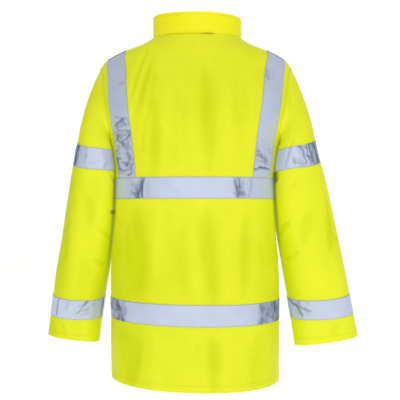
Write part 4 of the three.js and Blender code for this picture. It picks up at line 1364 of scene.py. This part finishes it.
# The cloth is smooth at the armhole, where the seam holds it
ARMHOLE_SMOOTH = 25
SLEEVE_CREASES = {
    "left": [
        ((1.2, -120), (4.5, -150), 6, 9, 1.3),
        ((6.4, -215), (9.6, -300), -6, 8, 1.8),
        ((6.8, -330), (9.4, -372), 5, 7, 1.6),
        ((7.6, -200), (9.4, -255), 5, 7, 1.4),
        ((2.2, -400), (3.4, -560), 6, 16, 2.0),
        ((6.2, -470), (8.6, -500), -6, 10, 1.6),
        ((6.0, -540), (8.8, -556), 6, 10, 1.3),
        ((1.0, -470), (3.2, -452), 5, 10, 1.2),
        ((4.6, -380), (5.4, -470), -5, 14, 1.3),
        ((3.8, -700), (4.6, -745), 3, 10, 1.0),
        ((12.0, -430), (15.0, -470), 6, 10, 1.6),
        ((12.4, -500), (15.6, -520), -6, 10, 1.5),
        ((13.0, -260), (15.6, -330), 5, 9, 1.5),
        ((16.4, -160), (18.2, -240), 5, 10, 1.2),
    ],
    "right": [
        ((3.6, -90), (5.4, -190), 6, 9, 1.4),
        ((5.2, -240), (6.6, -330), -5, 8, 1.4),
        ((7.2, -330), (9.2, -375), 5, 7, 1.6),
        ((5.0, -332), (6.2, -380), 4, 6, 1.3),
        ((2.6, -380), (3.6, -540), 7, 16, 2.0),
        ((6.4, -455), (8.8, -490), -6, 10, 1.7),
        ((6.2, -520), (8.6, -545), 6, 10, 1.4),
        ((4.6, -420), (5.6, -520), -6, 15, 1.4),
        ((0.8, -500), (2.8, -478), 5, 10, 1.2),
        ((4.0, -700), (5.2, -745), 3, 10, 1.0),
        ((12.2, -440), (15.2, -480), 6, 10, 1.6),
        ((12.6, -510), (15.8, -530), -6, 10, 1.5),
        ((13.2, -270), (15.4, -335), 5, 9, 1.5),
        ((16.6, -170), (18.0, -250), 5, 10, 1.2),
    ],
}

# %% Creases and crumples of the sleeve tapes
SLEEVE_TAPE_CREASES = {
    "left": [
        ((3.3, -256), (3.1, -324), 2, -5, 0.6),
        ((4.4, -262), (4.3, -320), -2, 6, 0.25),
        ((8.2, -256), (8.0, -322), 2, 12, 0.35),
        ((3.0, -630), (2.8, -694), 2, 6, 0.75),
        ((9.3, -636), (8.8, -690), -3, 7, 0.8),
        ((7.2, -640), (5.6, -676), 3, 9, 0.45),
        ((13.0, -262), (13.2, -320), 2, 8, 0.5),
        ((16.0, -640), (15.6, -690), 2, 8, 0.5),
    ],
    "right": [
        ((5.2, -258), (4.6, -324), 2, 5, 0.7),
        ((4.3, -256), (3.9, -324), -2, -6, 0.75),
        ((3.2, -256), (2.9, -318), 3, 6, 0.7),
        ((2.2, -256), (1.7, -318), 2, 5, 0.7),
        ((5.6, -296), (5.4, -322), 2, 5, 0.5),
        ((9.5, -298), (9.2, -336), 1, -9, 0.9),
        ((9.7, -632), (7.5, -662), -3, -8, 0.85),
        ((8.2, -654), (7.2, -694), 3, 8, 0.75),
        ((7.6, -664), (6.0, -676), 2, -6, 0.6),
        ((13.0, -262), (13.2, -320), 2, 8, 0.5),
        ((16.0, -640), (15.6, -690), 2, 8, 0.5),
    ],
}
# Crumpled zones and bunched strips of the sleeve tapes, in millimetres round the sleeve
SLEEVE_TAPE_ZONES = {
    "left": [((120, -290), 60, 0.2), ((330, -290), 60, 0.3),
             ((130, -662), 60, 0.4), ((330, -662), 60, 0.3)],
    "right": [((100, -290), 40, 0.45), ((330, -290), 60, 0.3),
              ((170, -662), 40, 0.5), ((330, -662), 60, 0.3)],
}
SLEEVE_TAPE_STRIPS = {
    "left": [(44, 27, 42, 25, -244, -334, 1.5), (205, 6, 202, 8, -626, -700, 0.9),
             (300, 12, 304, 15, -250, -335, 0.5)],
    "right": [(66, 30, 56, 30, -242, -332, 1.1), (112, 6, 106, 6, -244, -332, 0.6),
              (205, 6, 202, 8, -626, -700, 0.6), (300, 12, 304, 15, -250, -335, 0.5)],
}


# %% Shade of the sleeves
# The shade of the crevice by the body: its reach at the armhole and below it, how faint it is
# there, over what height round the underarm it changes, and how softly it ends
CREVICE_REACH = (2.5, 10)
CREVICE_FAINT = (0.15, 0.3)
CREVICE_TURN = 20
CREVICE_SOFT = 0.7
# It is deepest between two heights, with this much more reach
DEEP_REACH = 12
DEEP_CREVICE = {"left": (-422, -438), "right": (-308, -362)}
DEEP_EASE = 8
OUT_OF_REACH = 99.0
# Broad bands of painted shade down the sleeves, where they turn from the light: place round,
# half width, and how dark the band is painted
SLEEVE_SHADE_BANDS = {
    "left": [(1.0, 4.6, 4.0), (8.6, 2.6, 1.6), (5.6, 1.0, 0.8), (14, 2, 1.2)],
    "right": [(8.6, 3.2, 2.2), (4.2, 1.2, 0.7), (14, 2, 1.2), (19, 1.6, 0.6)],
}
# They come on over this height, half above and half below the underarm
TONE_START = 120


def turned(rows):
    """Creases with their places round the sleeve as millimetres."""
    return [((a[0] * TURN_STEP, a[1]), (b[0] * TURN_STEP, b[1]), bow, width, depth)
            for a, b, bow, width, depth in rows]


def sleeve_depth(hand, places, z, down):
    """Depth of the creases of a sleeve, none of them at the armhole."""
    x = np.broadcast_to(places[None, :] * TURN_STEP, z.shape)
    depth = strokes(x, z, turned(SLEEVE_CREASES[hand]))
    angle = 2 * math.pi * x / (SLEEVE_COLUMNS * TURN_STEP)
    round_x = ROUND_RADIUS * np.cos(angle) + ROUND_OFFSET
    round_y = ROUND_RADIUS * np.sin(angle) + ROUND_OFFSET
    for size, deep, step in RIPPLES:
        seed = SLEEVE_SEED[hand] + step
        bumps = (ripple(round_x, z * RIPPLE_STRETCH, size, seed)
                 + ripple(round_y, z * RIPPLE_STRETCH, size, seed + 1))
        depth = depth + deep * bumps / 2
    return depth * ease(down / ARMHOLE_SMOOTH)


def painted_sleeve_shade(hand, places, z):
    """Painted shade of the broad bands down a sleeve."""
    tone = np.zeros((1, len(places)))
    for centre, half, deep in SLEEVE_SHADE_BANDS[hand]:
        away = np.abs((places - centre + YOKE_ROWS) % SLEEVE_COLUMNS - YOKE_ROWS)
        tone = tone + deep * (1 - ease(away / half))[None, :]
    return tone * ease((UNDERARM + TONE_START / 2 - z) / TONE_START)


def crevice(points, hand, side):
    """How deep in shade the sleeve lies where it rests by the body, from 0 to 1."""
    x, y, z = np.moveaxis(mirrored(points, side), -1, 0)
    gap = np.full(x.shape, OUT_OF_REACH)
    for face in FACES:
        half, depth, square, shift = ring(z, face)
        here = ((y < 0) if face < 0 else (y >= 0)) & (np.abs(y) < depth)
        gap = np.where(here, x - across(half, y, depth, square) - side * shift, gap)
    below = ease((UNDERARM + CREVICE_TURN - z) / (2 * CREVICE_TURN))
    top, foot = DEEP_CREVICE[hand]
    deep = ease((top - z) / DEEP_EASE) * ease((z - foot) / DEEP_EASE)
    reach = mix(*CREVICE_REACH, below) + DEEP_REACH * deep
    return ease((reach - gap) / (CREVICE_SOFT * reach)) * mix(mix(*CREVICE_FAINT, below), 1.0, deep)


# %% Sleeves and their tape
SLEEVE_PLACES = np.linspace(0, SLEEVE_COLUMNS, 121)[:-1]
SLEEVE_TAPE_PLACES = np.linspace(0, SLEEVE_COLUMNS, 241)[:-1]
SLEEVE_STRETCHES = (("underarm", 34), ("upperTop", 3), ("upperFoot", 14), ("elbow", 40),
                    ("lowerTop", 36), ("lowerFoot", 14), ("cuff", 18))
# The cuff is sewn 19 mm above its edge
CUFF_STITCH = -6
# Depth, in millimetres, of a sleeve fold that gets the deepest painted fold shade
SLEEVE_FOLD = 3
SLEEVE_TAPE_SEED = 41
# The crumples of the tape don't fade at the armhole, which is this far away
FAR_DOWN = 100.0


def press_rows(stretches):
    """How far each ring of a sleeve is pressed in under a tape, from 0 to 1."""
    made = [0.0]
    for name, steps in stretches:
        for step in range(1, steps + 1):
            share = step / steps
            band = name in ("upperFoot", "lowerFoot")
            made.append(float(ease(min(share, 1 - share) * TAPE_WIDTH / TUCK)) if band else 0.0)
    return np.array(made)


for hand, side in (("left", 1), ("right", -1)):
    points = sleeve_grid(hand, side, SLEEVE_PLACES, SLEEVE_STRETCHES)
    normals = surface_normals(points, True)
    depth = sleeve_depth(hand, SLEEVE_PLACES, points[..., 2], below_seam(points))
    sunk = depth + UNDER_TAPE * press_rows(SLEEVE_STRETCHES)[:, None]
    made = points - normals * sunk[..., None]
    # Painted shade: the fold mark and the crevice's shade mark darken the sleeve's colour
    fold_and_band_shade = depth + painted_sleeve_shade(hand, SLEEVE_PLACES, points[..., 2])
    marks = {"fold_shade": np.clip(fold_and_band_shade / SLEEVE_FOLD, 0, 1), "shade": crevice(made, hand, side)}
    piece = cloth_wall(f"sleeve_{hand}_cloth", made, -CLOTH, 0, around=True, normals=normals,
                       marks=marks)
    dress(piece, f"sleeve_{hand}", YELLOW)
    CLOTH_SEWING.append((made[CUFF_STITCH], normals[CUFF_STITCH], SEAM_HEIGHT, True))
    print(piece.name, len(piece.data.polygons), "faces", round(cloth_area(piece), 3), "m2")
    for band, cut in (("upper", 0.5), ("lower", 0.42)):
        points = sleeve_grid(hand, side, SLEEVE_TAPE_PLACES, ((f"{band}Foot", 25),))
        normals = surface_normals(points, True)
        x = np.broadcast_to(SLEEVE_TAPE_PLACES[None, :] * TURN_STEP, points.shape[:2])
        share = np.linspace(0, 1, len(points))
        edge = np.broadcast_to((np.minimum(share, 1 - share) * TAPE_WIDTH)[:, None], x.shape)
        placed = (turned(SLEEVE_TAPE_CREASES[hand]), SLEEVE_TAPE_ZONES[hand], SLEEVE_TAPE_STRIPS[hand])
        relief, dark = tape_relief(x, points[..., 2], *placed, edge, SLEEVE_TAPE_SEED)
        low = sleeve_depth(hand, SLEEVE_TAPE_PLACES, points[..., 2], FAR_DOWN)
        tape_points = points - normals * (relief + low)[..., None]
        tape = cloth_wall(f"{band}_tape_{hand}_strip", tape_points, TAPE_FOOT, TAPE_TOP, around=True,
                          normals=normals, marks={"edge": edge, "crease": dark})
        dress(tape, f"{band}_tape_{hand}", SILVER)
        TAPE_SEWING.extend((tape_points[i], normals[i], TAPE_TOP, True) for i in (1, -2))
        print(tape.name, round(cloth_area(tape), 4), "m2")

# %% [markdown]
# ## Collar
#
# A stand collar is a curved strip, stiffened inside and sewn to the neckline. It stands from one
# edge of the zip round the back to the other. Behind, the edge of the strip lies proud of the
# back for a hand's width, and its shadow is the dark line under the collar: partly cast by the
# proud edge, and partly painted shade on the collar's foot. The strip is worked out from its foot
# on the neckline to its rim, and buckles a little at its right end.

# %% Collar
COLLAR_WALL = 2.6
COLLAR_LIFT = -0.5
COLLAR_TOP = {"back": 48, 1: 53, -1: 47.5, "front": 8}
COLLAR_DEPTH = {1: 80, -1: 71}
COLLAR_SHARES = np.concatenate([np.linspace(0, 0.12, 8), np.linspace(0.16, 1, 20)])
RIM_STITCH = -4
# The proud edge: how far it stands out, how fast it does so from the foot, how high it reaches,
# and the places along the collar where it starts and ends
COLLAR_LIP = 3.2
COLLAR_LIP_FOOT = 2.1
COLLAR_LIP_HEIGHT = 7
COLLAR_LIP_ENDS = (8.5, 12.7)
COLLAR_LIP_EASE = (0.5, 0.8)
# It gapes most at one place. The painted shade at the foot of the collar, at the proud edge and there
COLLAR_GAPE, COLLAR_GAPE_HALF = 9.2, 0.9
FOOT_SHADE, LIP_SHADE, GAPE_SHADE = 0.15, 0.35, 0.9
SHADE_START = 0.4
# Creases fade near the zip and near the foot. A ripple has a size, a depth and a seed
COLLAR_END_FADE, COLLAR_FOOT_FADE = 0.6, 6
COLLAR_RIPPLE = (34, 0.5, 51)
# Depth, in millimetres, of a collar crease that gets the deepest painted fold shade
COLLAR_FOLD = 1.6
NECK_STEP = 30.0
# Places along the collar in steps of 30 mm from the right edge of the zip, and heights on it
COLLAR_CREASES = [
    ((7.75, 52), (6.9, 8), 3, 3.4, 1.3),
    ((7.2, 50), (6.45, 22), 3, 3.0, 1.2),
    ((6.8, 40), (6.2, 6), -2, 3.0, 0.9),
    ((13.6, 10), (14.4, 44), 3, 5.0, 1.0),
    ((9.0, 30), (12.0, 26), 4, 8.0, 0.5),
    ((3.2, 8), (4.2, 40), 3, 5.0, 1.0),
    ((16.8, 40), (15.8, 10), 3, 5.0, 1.0),
]


def neck_cell(q):
    """Face, side and column of a place along the collar."""
    if q <= NECK_COLUMN:
        return -1, -1, q
    if q <= 2 * NECK_COLUMN:
        return 1, -1, 2 * NECK_COLUMN - q
    if q <= 3 * NECK_COLUMN:
        return 1, 1, q - 2 * NECK_COLUMN
    return -1, 1, 4 * NECK_COLUMN - q


def collar_ends(q):
    """Foot and rim of the collar at a place along it."""
    face, side, column = neck_cell(q)
    point, _, _, _, _ = body_grid(face, side, [column], [0.0])
    foot = point[0, 0] + np.array([0, 0 if column == NECK_COLUMN else face * SEAM_HALF, COLLAR_LIFT])
    turn = math.pi / 2 * column / NECK_COLUMN
    middle = COLLAR_TOP["back" if face > 0 else "front"]
    rim = np.array([
        read(BODY, "shift", 0.0) + side * mix(CENTRE[face], NECK_HALF, math.sin(turn)),
        face * COLLAR_DEPTH[face] * math.cos(turn),
        mix(COLLAR_TOP[side], middle, math.cos(turn) ** 2),
    ])
    return foot, rim


def collar_points(places, shares):
    """Points of the collar at places along it and shares of its height."""
    ends = [collar_ends(q) for q in places]
    return np.array([[mix(foot, rim, share) for foot, rim in ends] for share in shares])


def make_collar():
    """The stand collar with its proud edge behind, its creases and its painted shade."""
    places = np.linspace(0, 4 * NECK_COLUMN, 161)
    points = collar_points(places, COLLAR_SHARES)
    normals = surface_normals(points, False)
    heights = np.linalg.norm(points - points[:1], axis=-1)
    along = np.broadcast_to(places[None, :], heights.shape)
    creases = [((a[0] * NECK_STEP, a[1]), (b[0] * NECK_STEP, b[1]), *rest)
               for a, b, *rest in COLLAR_CREASES]
    fade = ease(along / COLLAR_END_FADE) * ease((4 * NECK_COLUMN - along) / COLLAR_END_FADE)
    size, deep, seed = COLLAR_RIPPLE
    depth = strokes(along * NECK_STEP, heights, creases)
    depth = depth + deep * ripple(along * NECK_STEP, heights, size, seed)
    depth = depth * fade * ease(heights / COLLAR_FOOT_FADE)
    open_lip = (ease((along - COLLAR_LIP_ENDS[0]) / COLLAR_LIP_EASE[0])
                * ease((COLLAR_LIP_ENDS[1] - along) / COLLAR_LIP_EASE[1]))
    lip = open_lip * ease(heights / COLLAR_LIP_FOOT) * np.exp(-((heights / COLLAR_LIP_HEIGHT) ** 2))
    # Painted shade on the collar's foot, deepest under the proud edge where it gapes
    gape = 1 - ease(np.abs(along - COLLAR_GAPE) / COLLAR_GAPE_HALF)
    under_lip = mix(FOOT_SHADE, mix(LIP_SHADE, GAPE_SHADE, gape), open_lip)
    under_lip = under_lip * (1 - ease(heights / COLLAR_LIP_FOOT - SHADE_START))
    made = points + normals * (COLLAR_LIP * lip - depth)[..., None]
    piece = cloth_wall("collar_cloth", made, -COLLAR_WALL, 0, normals=normals,
                       marks={"fold_shade": np.clip(depth / COLLAR_FOLD, 0, 1), "shade": under_lip})
    dress(piece, "collar", TOP_LIT_COLLAR_YELLOW)
    CLOTH_SEWING.append((made[RIM_STITCH, 1:-1], normals[RIM_STITCH, 1:-1], SEAM_HEIGHT, False))
    return piece


collar = make_collar()
print(collar.name, round(cloth_area(collar), 4), "m2")

# %% [markdown]
# ## Zip
#
# The fronts close with a moulded zip: two woven tapes, each with a row of plastic teeth that
# hook between the other's. It runs behind the front edges from the hem to the top of the
# collar. The tapes are one thin strip here, because the zip is closed. The teeth are small
# tapered blocks from a loop, on one mesh.

# %% Zip tapes and teeth
ZIP_TAPE_HALF = 11
ZIP_TAPE_WALL = 1.0
ZIP_CLEAR = 0.5
ZIP_CLEAR_OF_COLLAR = 1
ZIP_SHORT = 5
ZIP_COLUMNS = 9
ZIP_STEPS = (60, 80, 30, 90)
ZIP_COLLAR_STEPS = 25
TOOTH_PITCH = 2.6
TOOTH_HALF = 0.72
TOOTH_REACH = 3.3
TOOTH_OVERLAP = 0.9
TOOTH_DEPTHS = (0.45, 0.95, 2.6)
TOOTH_TAPER = 0.35


def zip_path():
    """Points up the middle of the zip, the way out from it, and the thickness of cloth on it."""
    rows = subdivide((LAST_ROW, HIP_ROW, CHEST_ROW, YOKE_ROWS, 0), ZIP_STEPS)
    edges = [body_cloth(-1, side, [0.0], rows, pressed=False) for side in (1, -1)]
    point = (edges[0][0] + edges[1][0])[:, 0] / 2
    normal = (edges[0][1] + edges[1][1])[:, 0] / 2
    cloth = np.full(len(point), float(CLOTH))
    cloth[-1] = COLLAR_WALL + ZIP_CLEAR_OF_COLLAR
    shares = np.linspace(0, 1, ZIP_COLLAR_STEPS + 1)[1:]
    sides = [collar_points([q], shares)[:, 0] for q in (0.0, 4.0 * NECK_COLUMN)]
    collar_middle = (sides[0] + sides[1]) / 2
    rise = unit(np.gradient(collar_middle, axis=0))
    outward = np.cross(rise, np.array([1.0, 0, 0]))
    outward = outward * np.sign(-outward[:, 1:2])
    point = np.concatenate([point, collar_middle])
    normal = np.concatenate([normal, outward])
    normal[:, 0] = 0
    behind_collar = COLLAR_WALL + ZIP_CLEAR_OF_COLLAR - ZIP_CLEAR
    cloth = np.concatenate([cloth, np.full(len(collar_middle), behind_collar)])
    point[0, 2] += ZIP_SHORT
    point[-1, 2] -= ZIP_SHORT
    return point, unit(normal), cloth


def resampled(points, values, step):
    """Points and other values at even steps along a line of points."""
    places = np.concatenate([[0], np.linalg.norm(np.diff(points, axis=0), axis=-1).cumsum()])
    stops = np.arange(step / 2, places[-1], step)
    return [np.stack([np.interp(stops, places, column) for column in np.atleast_2d(v.T)], axis=-1)
            for v in (points, *values)]


def add_mesh(name, vertices, faces, material):
    """A piece from vertices in millimetres, riding on the jacket."""
    mesh = bpy.data.meshes.new(name)
    mesh.from_pydata(np.asarray(vertices) * MM, [], np.asarray(faces).tolist())
    mesh.shade_smooth()
    mesh.set_sharp_from_angle(angle=math.radians(40))
    piece = bpy.data.objects.new(name, mesh)
    bpy.context.scene.collection.objects.link(piece)
    return dress(piece, None, material)


# %% Zip materials
def woven_zip_tape():
    """Polyester zip tape, a close twill whose ribs run along it."""
    material, tree = new_material("woven_polyester_zip_tape")
    uv = add(tree, "ShaderNodeUVMap", uv_map="cloth").outputs["UV"]
    ribs = add(tree, "ShaderNodeTexWave", {"Scale": bands(1.2)}, {"Vector": uv}, wave_type="BANDS",
               bands_direction="X", wave_profile="SIN").outputs["Fac"]
    colour = add(tree, "ShaderNodeMix", {"A": linear("D2D826"), "B": linear("C2C914")}, {"Factor": ribs},
                 data_type="RGBA").outputs["Result"]
    bump = add(tree, "ShaderNodeBump", {"Strength": 0.3, "Distance": 0.2 * MM}, {"Height": ribs})
    shader = add(tree, "ShaderNodeBsdfPrincipled", {"Roughness": 0.75, "IOR": 1.5},
                 {"Base Color": colour, "Normal": bump.outputs["Normal"]})
    add(tree, "ShaderNodeOutputMaterial", links={"Surface": shader.outputs["BSDF"]})
    return material


def moulded_acetal():
    """Acetal teeth as they leave the mould: smooth, slightly waxy and a shade deeper."""
    material, tree = new_material("moulded_acetal_yellow")
    place = add(tree, "ShaderNodeTexCoord").outputs["Object"]
    flow = add(tree, "ShaderNodeTexNoise", {"Scale": 400.0, "Detail": 2.0},
               {"Vector": place}).outputs["Fac"]
    colour = add(tree, "ShaderNodeMix", {"A": linear("DCE21E"), "B": linear("CBD20C")}, {"Factor": flow},
                 data_type="RGBA").outputs["Result"]
    shader = add(tree, "ShaderNodeBsdfPrincipled", {"Roughness": 0.32, "IOR": 1.48},
                 {"Base Color": colour})
    add(tree, "ShaderNodeOutputMaterial", links={"Surface": shader.outputs["BSDF"]})
    return material


# %% Making the zip
ZIP_POINTS, ZIP_NORMALS, ZIP_CLOTH = zip_path()
TOOTH_POINTS = 12
TOOTH_FACES = 10


def make_zip_tapes():
    """Both tapes of the closed zip, as one strip behind the front edges."""
    offsets = np.linspace(-ZIP_TAPE_HALF, ZIP_TAPE_HALF, ZIP_COLUMNS)
    behind = ZIP_POINTS - ZIP_NORMALS * (ZIP_CLOTH + ZIP_CLEAR)[:, None]
    points = behind[:, None, :] + offsets[None, :, None] * np.array([1.0, 0, 0])
    normals = np.broadcast_to(ZIP_NORMALS[:, None, :], points.shape)
    piece = cloth_wall("zip_tapes", points, -ZIP_TAPE_WALL, 0, normals=normals)
    return dress(piece, "zip", woven_zip_tape())


def make_zip_teeth():
    """Teeth up the whole zip, from its two sides in turn, as one mesh."""
    points, normals = resampled(ZIP_POINTS, (ZIP_NORMALS,), TOOTH_PITCH / 2)
    up = unit(np.gradient(points, axis=0))
    vertices, faces = [], []
    box = np.array([[0, 1, 2, 3], [0, 4, 5, 1], [1, 5, 6, 2], [2, 6, 7, 3], [3, 7, 4, 0],
                    [4, 8, 9, 5], [5, 9, 10, 6], [6, 10, 11, 7], [7, 11, 8, 4], [8, 11, 10, 9]])
    corners = ((-1, -1), (1, -1), (1, 1), (-1, 1))
    for i, (point, out, rise) in enumerate(zip(points, normals, up)):
        hand = 1 if i % 2 else -1
        middle = hand * (TOOTH_REACH - TOOTH_OVERLAP) / 2
        half = (TOOTH_REACH + TOOTH_OVERLAP) / 2
        for depth, slim in zip(TOOTH_DEPTHS[::-1], (0, 0, TOOTH_TAPER)):
            for a, b in corners:
                vertices.append(point - out * depth + rise * b * (TOOTH_HALF - slim / 2)
                                + np.array([middle + a * (half - slim), 0, 0]))
        faces.append(box + TOOTH_POINTS * i)
    return add_mesh("zip_teeth", vertices, np.concatenate(faces), moulded_acetal())


zip_tapes = make_zip_tapes()
zip_teeth = make_zip_teeth()
print("zip teeth:", len(zip_teeth.data.polygons) // TOOTH_FACES)

# %% [markdown]
# ## Slider and pull tab
#
# Both are die cast in zinc and plated. The casting is slightly rough and its edges are polished
# by use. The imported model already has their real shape, so they keep it and only get a finish:
# a metal whose roughness wanders a little, with fine scratches.

# %% Plated zinc
def plated_zinc():
    """Nickel plated zinc with a wandering haze and fine scratches."""
    material, tree = new_material("nickel_plated_zinc")
    place = add(tree, "ShaderNodeTexCoord").outputs["Object"]
    haze = add(tree, "ShaderNodeTexNoise", {"Scale": 260.0, "Detail": 4.0},
               {"Vector": place}).outputs["Fac"]
    rough = add(tree, "ShaderNodeMapRange", {"To Min": 0.22, "To Max": 0.42},
                {"Value": haze}).outputs["Result"]
    colour = add(tree, "ShaderNodeMix", {"A": linear("B9BBBE"), "B": linear("94979B")}, {"Factor": haze},
                 data_type="RGBA").outputs["Result"]
    scratch = add(tree, "ShaderNodeTexNoise", {"Scale": 900.0, "Detail": 2.0},
                  {"Vector": place}).outputs["Fac"]
    bump = add(tree, "ShaderNodeBump", {"Strength": 0.1, "Distance": 0.05 * MM}, {"Height": scratch})
    shader = add(tree, "ShaderNodeBsdfPrincipled", {"Metallic": 1.0},
                 {"Base Color": colour, "Roughness": rough, "Normal": bump.outputs["Normal"]})
    add(tree, "ShaderNodeOutputMaterial", links={"Surface": shader.outputs["BSDF"]})
    return material


ZINC = plated_zinc()
for name in ("zip_slider", "zip_pull"):
    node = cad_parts[name]
    node.data.materials.clear()
    node.data.materials.append(ZINC)

# %% [markdown]
# ## Sewing
#
# Lockstitch shows on top as a row of short threads, each rounded where it lies and diving into
# the cloth at its ends. Real stitches on such a jacket are about 3 mm long. Each is a small
# eight-cornered bead between two tips, and a row follows a line of points already on the cloth.
# The tape is sewn down with grey thread close to its edges, and the hems, cuffs, collar and
# front edges with yellow.

# %% Stitches
STITCH_PITCH = 3.4
STITCH_LENGTH = 2.7
THREAD_RADIUS = 0.32
# A stitch has two rings of four points, this share of its length from its middle, and two tips
RING_PLACE = 0.3
STITCH_POINTS = 10


def polyester_thread(name, light, dark):
    """Spun polyester thread, a little uneven in colour."""
    material, tree = new_material(name)
    place = add(tree, "ShaderNodeTexCoord").outputs["Object"]
    twist = add(tree, "ShaderNodeTexNoise", {"Scale": 1500.0}, {"Vector": place}).outputs["Fac"]
    colour = add(tree, "ShaderNodeMix", {"A": linear(light), "B": linear(dark)}, {"Factor": twist},
                 data_type="RGBA").outputs["Result"]
    shader = add(tree, "ShaderNodeBsdfPrincipled", {"Roughness": 0.55, "IOR": 1.53},
                 {"Base Color": colour})
    add(tree, "ShaderNodeOutputMaterial", links={"Surface": shader.outputs["BSDF"]})
    return material


def stitch_row(points, normals, lift, closed=False):
    """Vertices and faces of one row of stitches along a line of points."""
    if closed:
        points, normals = (np.concatenate([a, a[:1]]) for a in (points, normals))
    spots, out = resampled(points, (normals,), STITCH_PITCH)
    along = unit(np.gradient(spots, axis=0))
    out = unit(out)
    side = np.cross(along, out)
    middle = spots + out * lift
    rings = [middle - along * STITCH_LENGTH / 2 - out * THREAD_RADIUS]
    for place in (-RING_PLACE, RING_PLACE):
        for a, b in ((-1, 0), (0, 1), (1, 0), (0, -1)):
            rings.append(middle + along * STITCH_LENGTH * place
                         + (side * a + out * b) * THREAD_RADIUS)
    rings.append(middle + along * STITCH_LENGTH / 2 - out * THREAD_RADIUS)
    vertices = np.stack(rings, axis=1).reshape(-1, 3)
    ring_quads = [[1 + i, 1 + (i + 1) % 4, 5 + (i + 1) % 4, 5 + i] for i in range(4)]
    tips = [[0, 1 + (i + 1) % 4, 1 + i] for i in range(4)]
    tips += [[9, 5 + i, 5 + (i + 1) % 4] for i in range(4)]
    return vertices, ring_quads, tips, len(spots)


def sew(name, rows, material):
    """One mesh of many rows of stitches."""
    vertices, faces, first = [], [], 0
    for points, normals, lift, closed in rows:
        made, quads, tips, number = stitch_row(points, normals, lift, closed)
        vertices.append(made)
        for i in range(number):
            shift = first + STITCH_POINTS * i
            faces += [[v + shift for v in face] for face in (*quads, *tips)]
        first += STITCH_POINTS * number
    mesh = bpy.data.meshes.new(name)
    mesh.from_pydata(np.concatenate(vertices) * MM, [], faces)
    mesh.shade_smooth()
    piece = bpy.data.objects.new(name, mesh)
    bpy.context.scene.collection.objects.link(piece)
    print(name, first // STITCH_POINTS, "stitches")
    return dress(piece, None, material)


GREY_THREAD = polyester_thread("polyester_thread_grey", "A8B2C4", "8B96A9")
YELLOW_THREAD = polyester_thread("polyester_thread_yellow", "D9E21A", "BCC600")
sew("tape_sewing", TAPE_SEWING, GREY_THREAD)
sew("cloth_sewing", CLOTH_SEWING, YELLOW_THREAD)
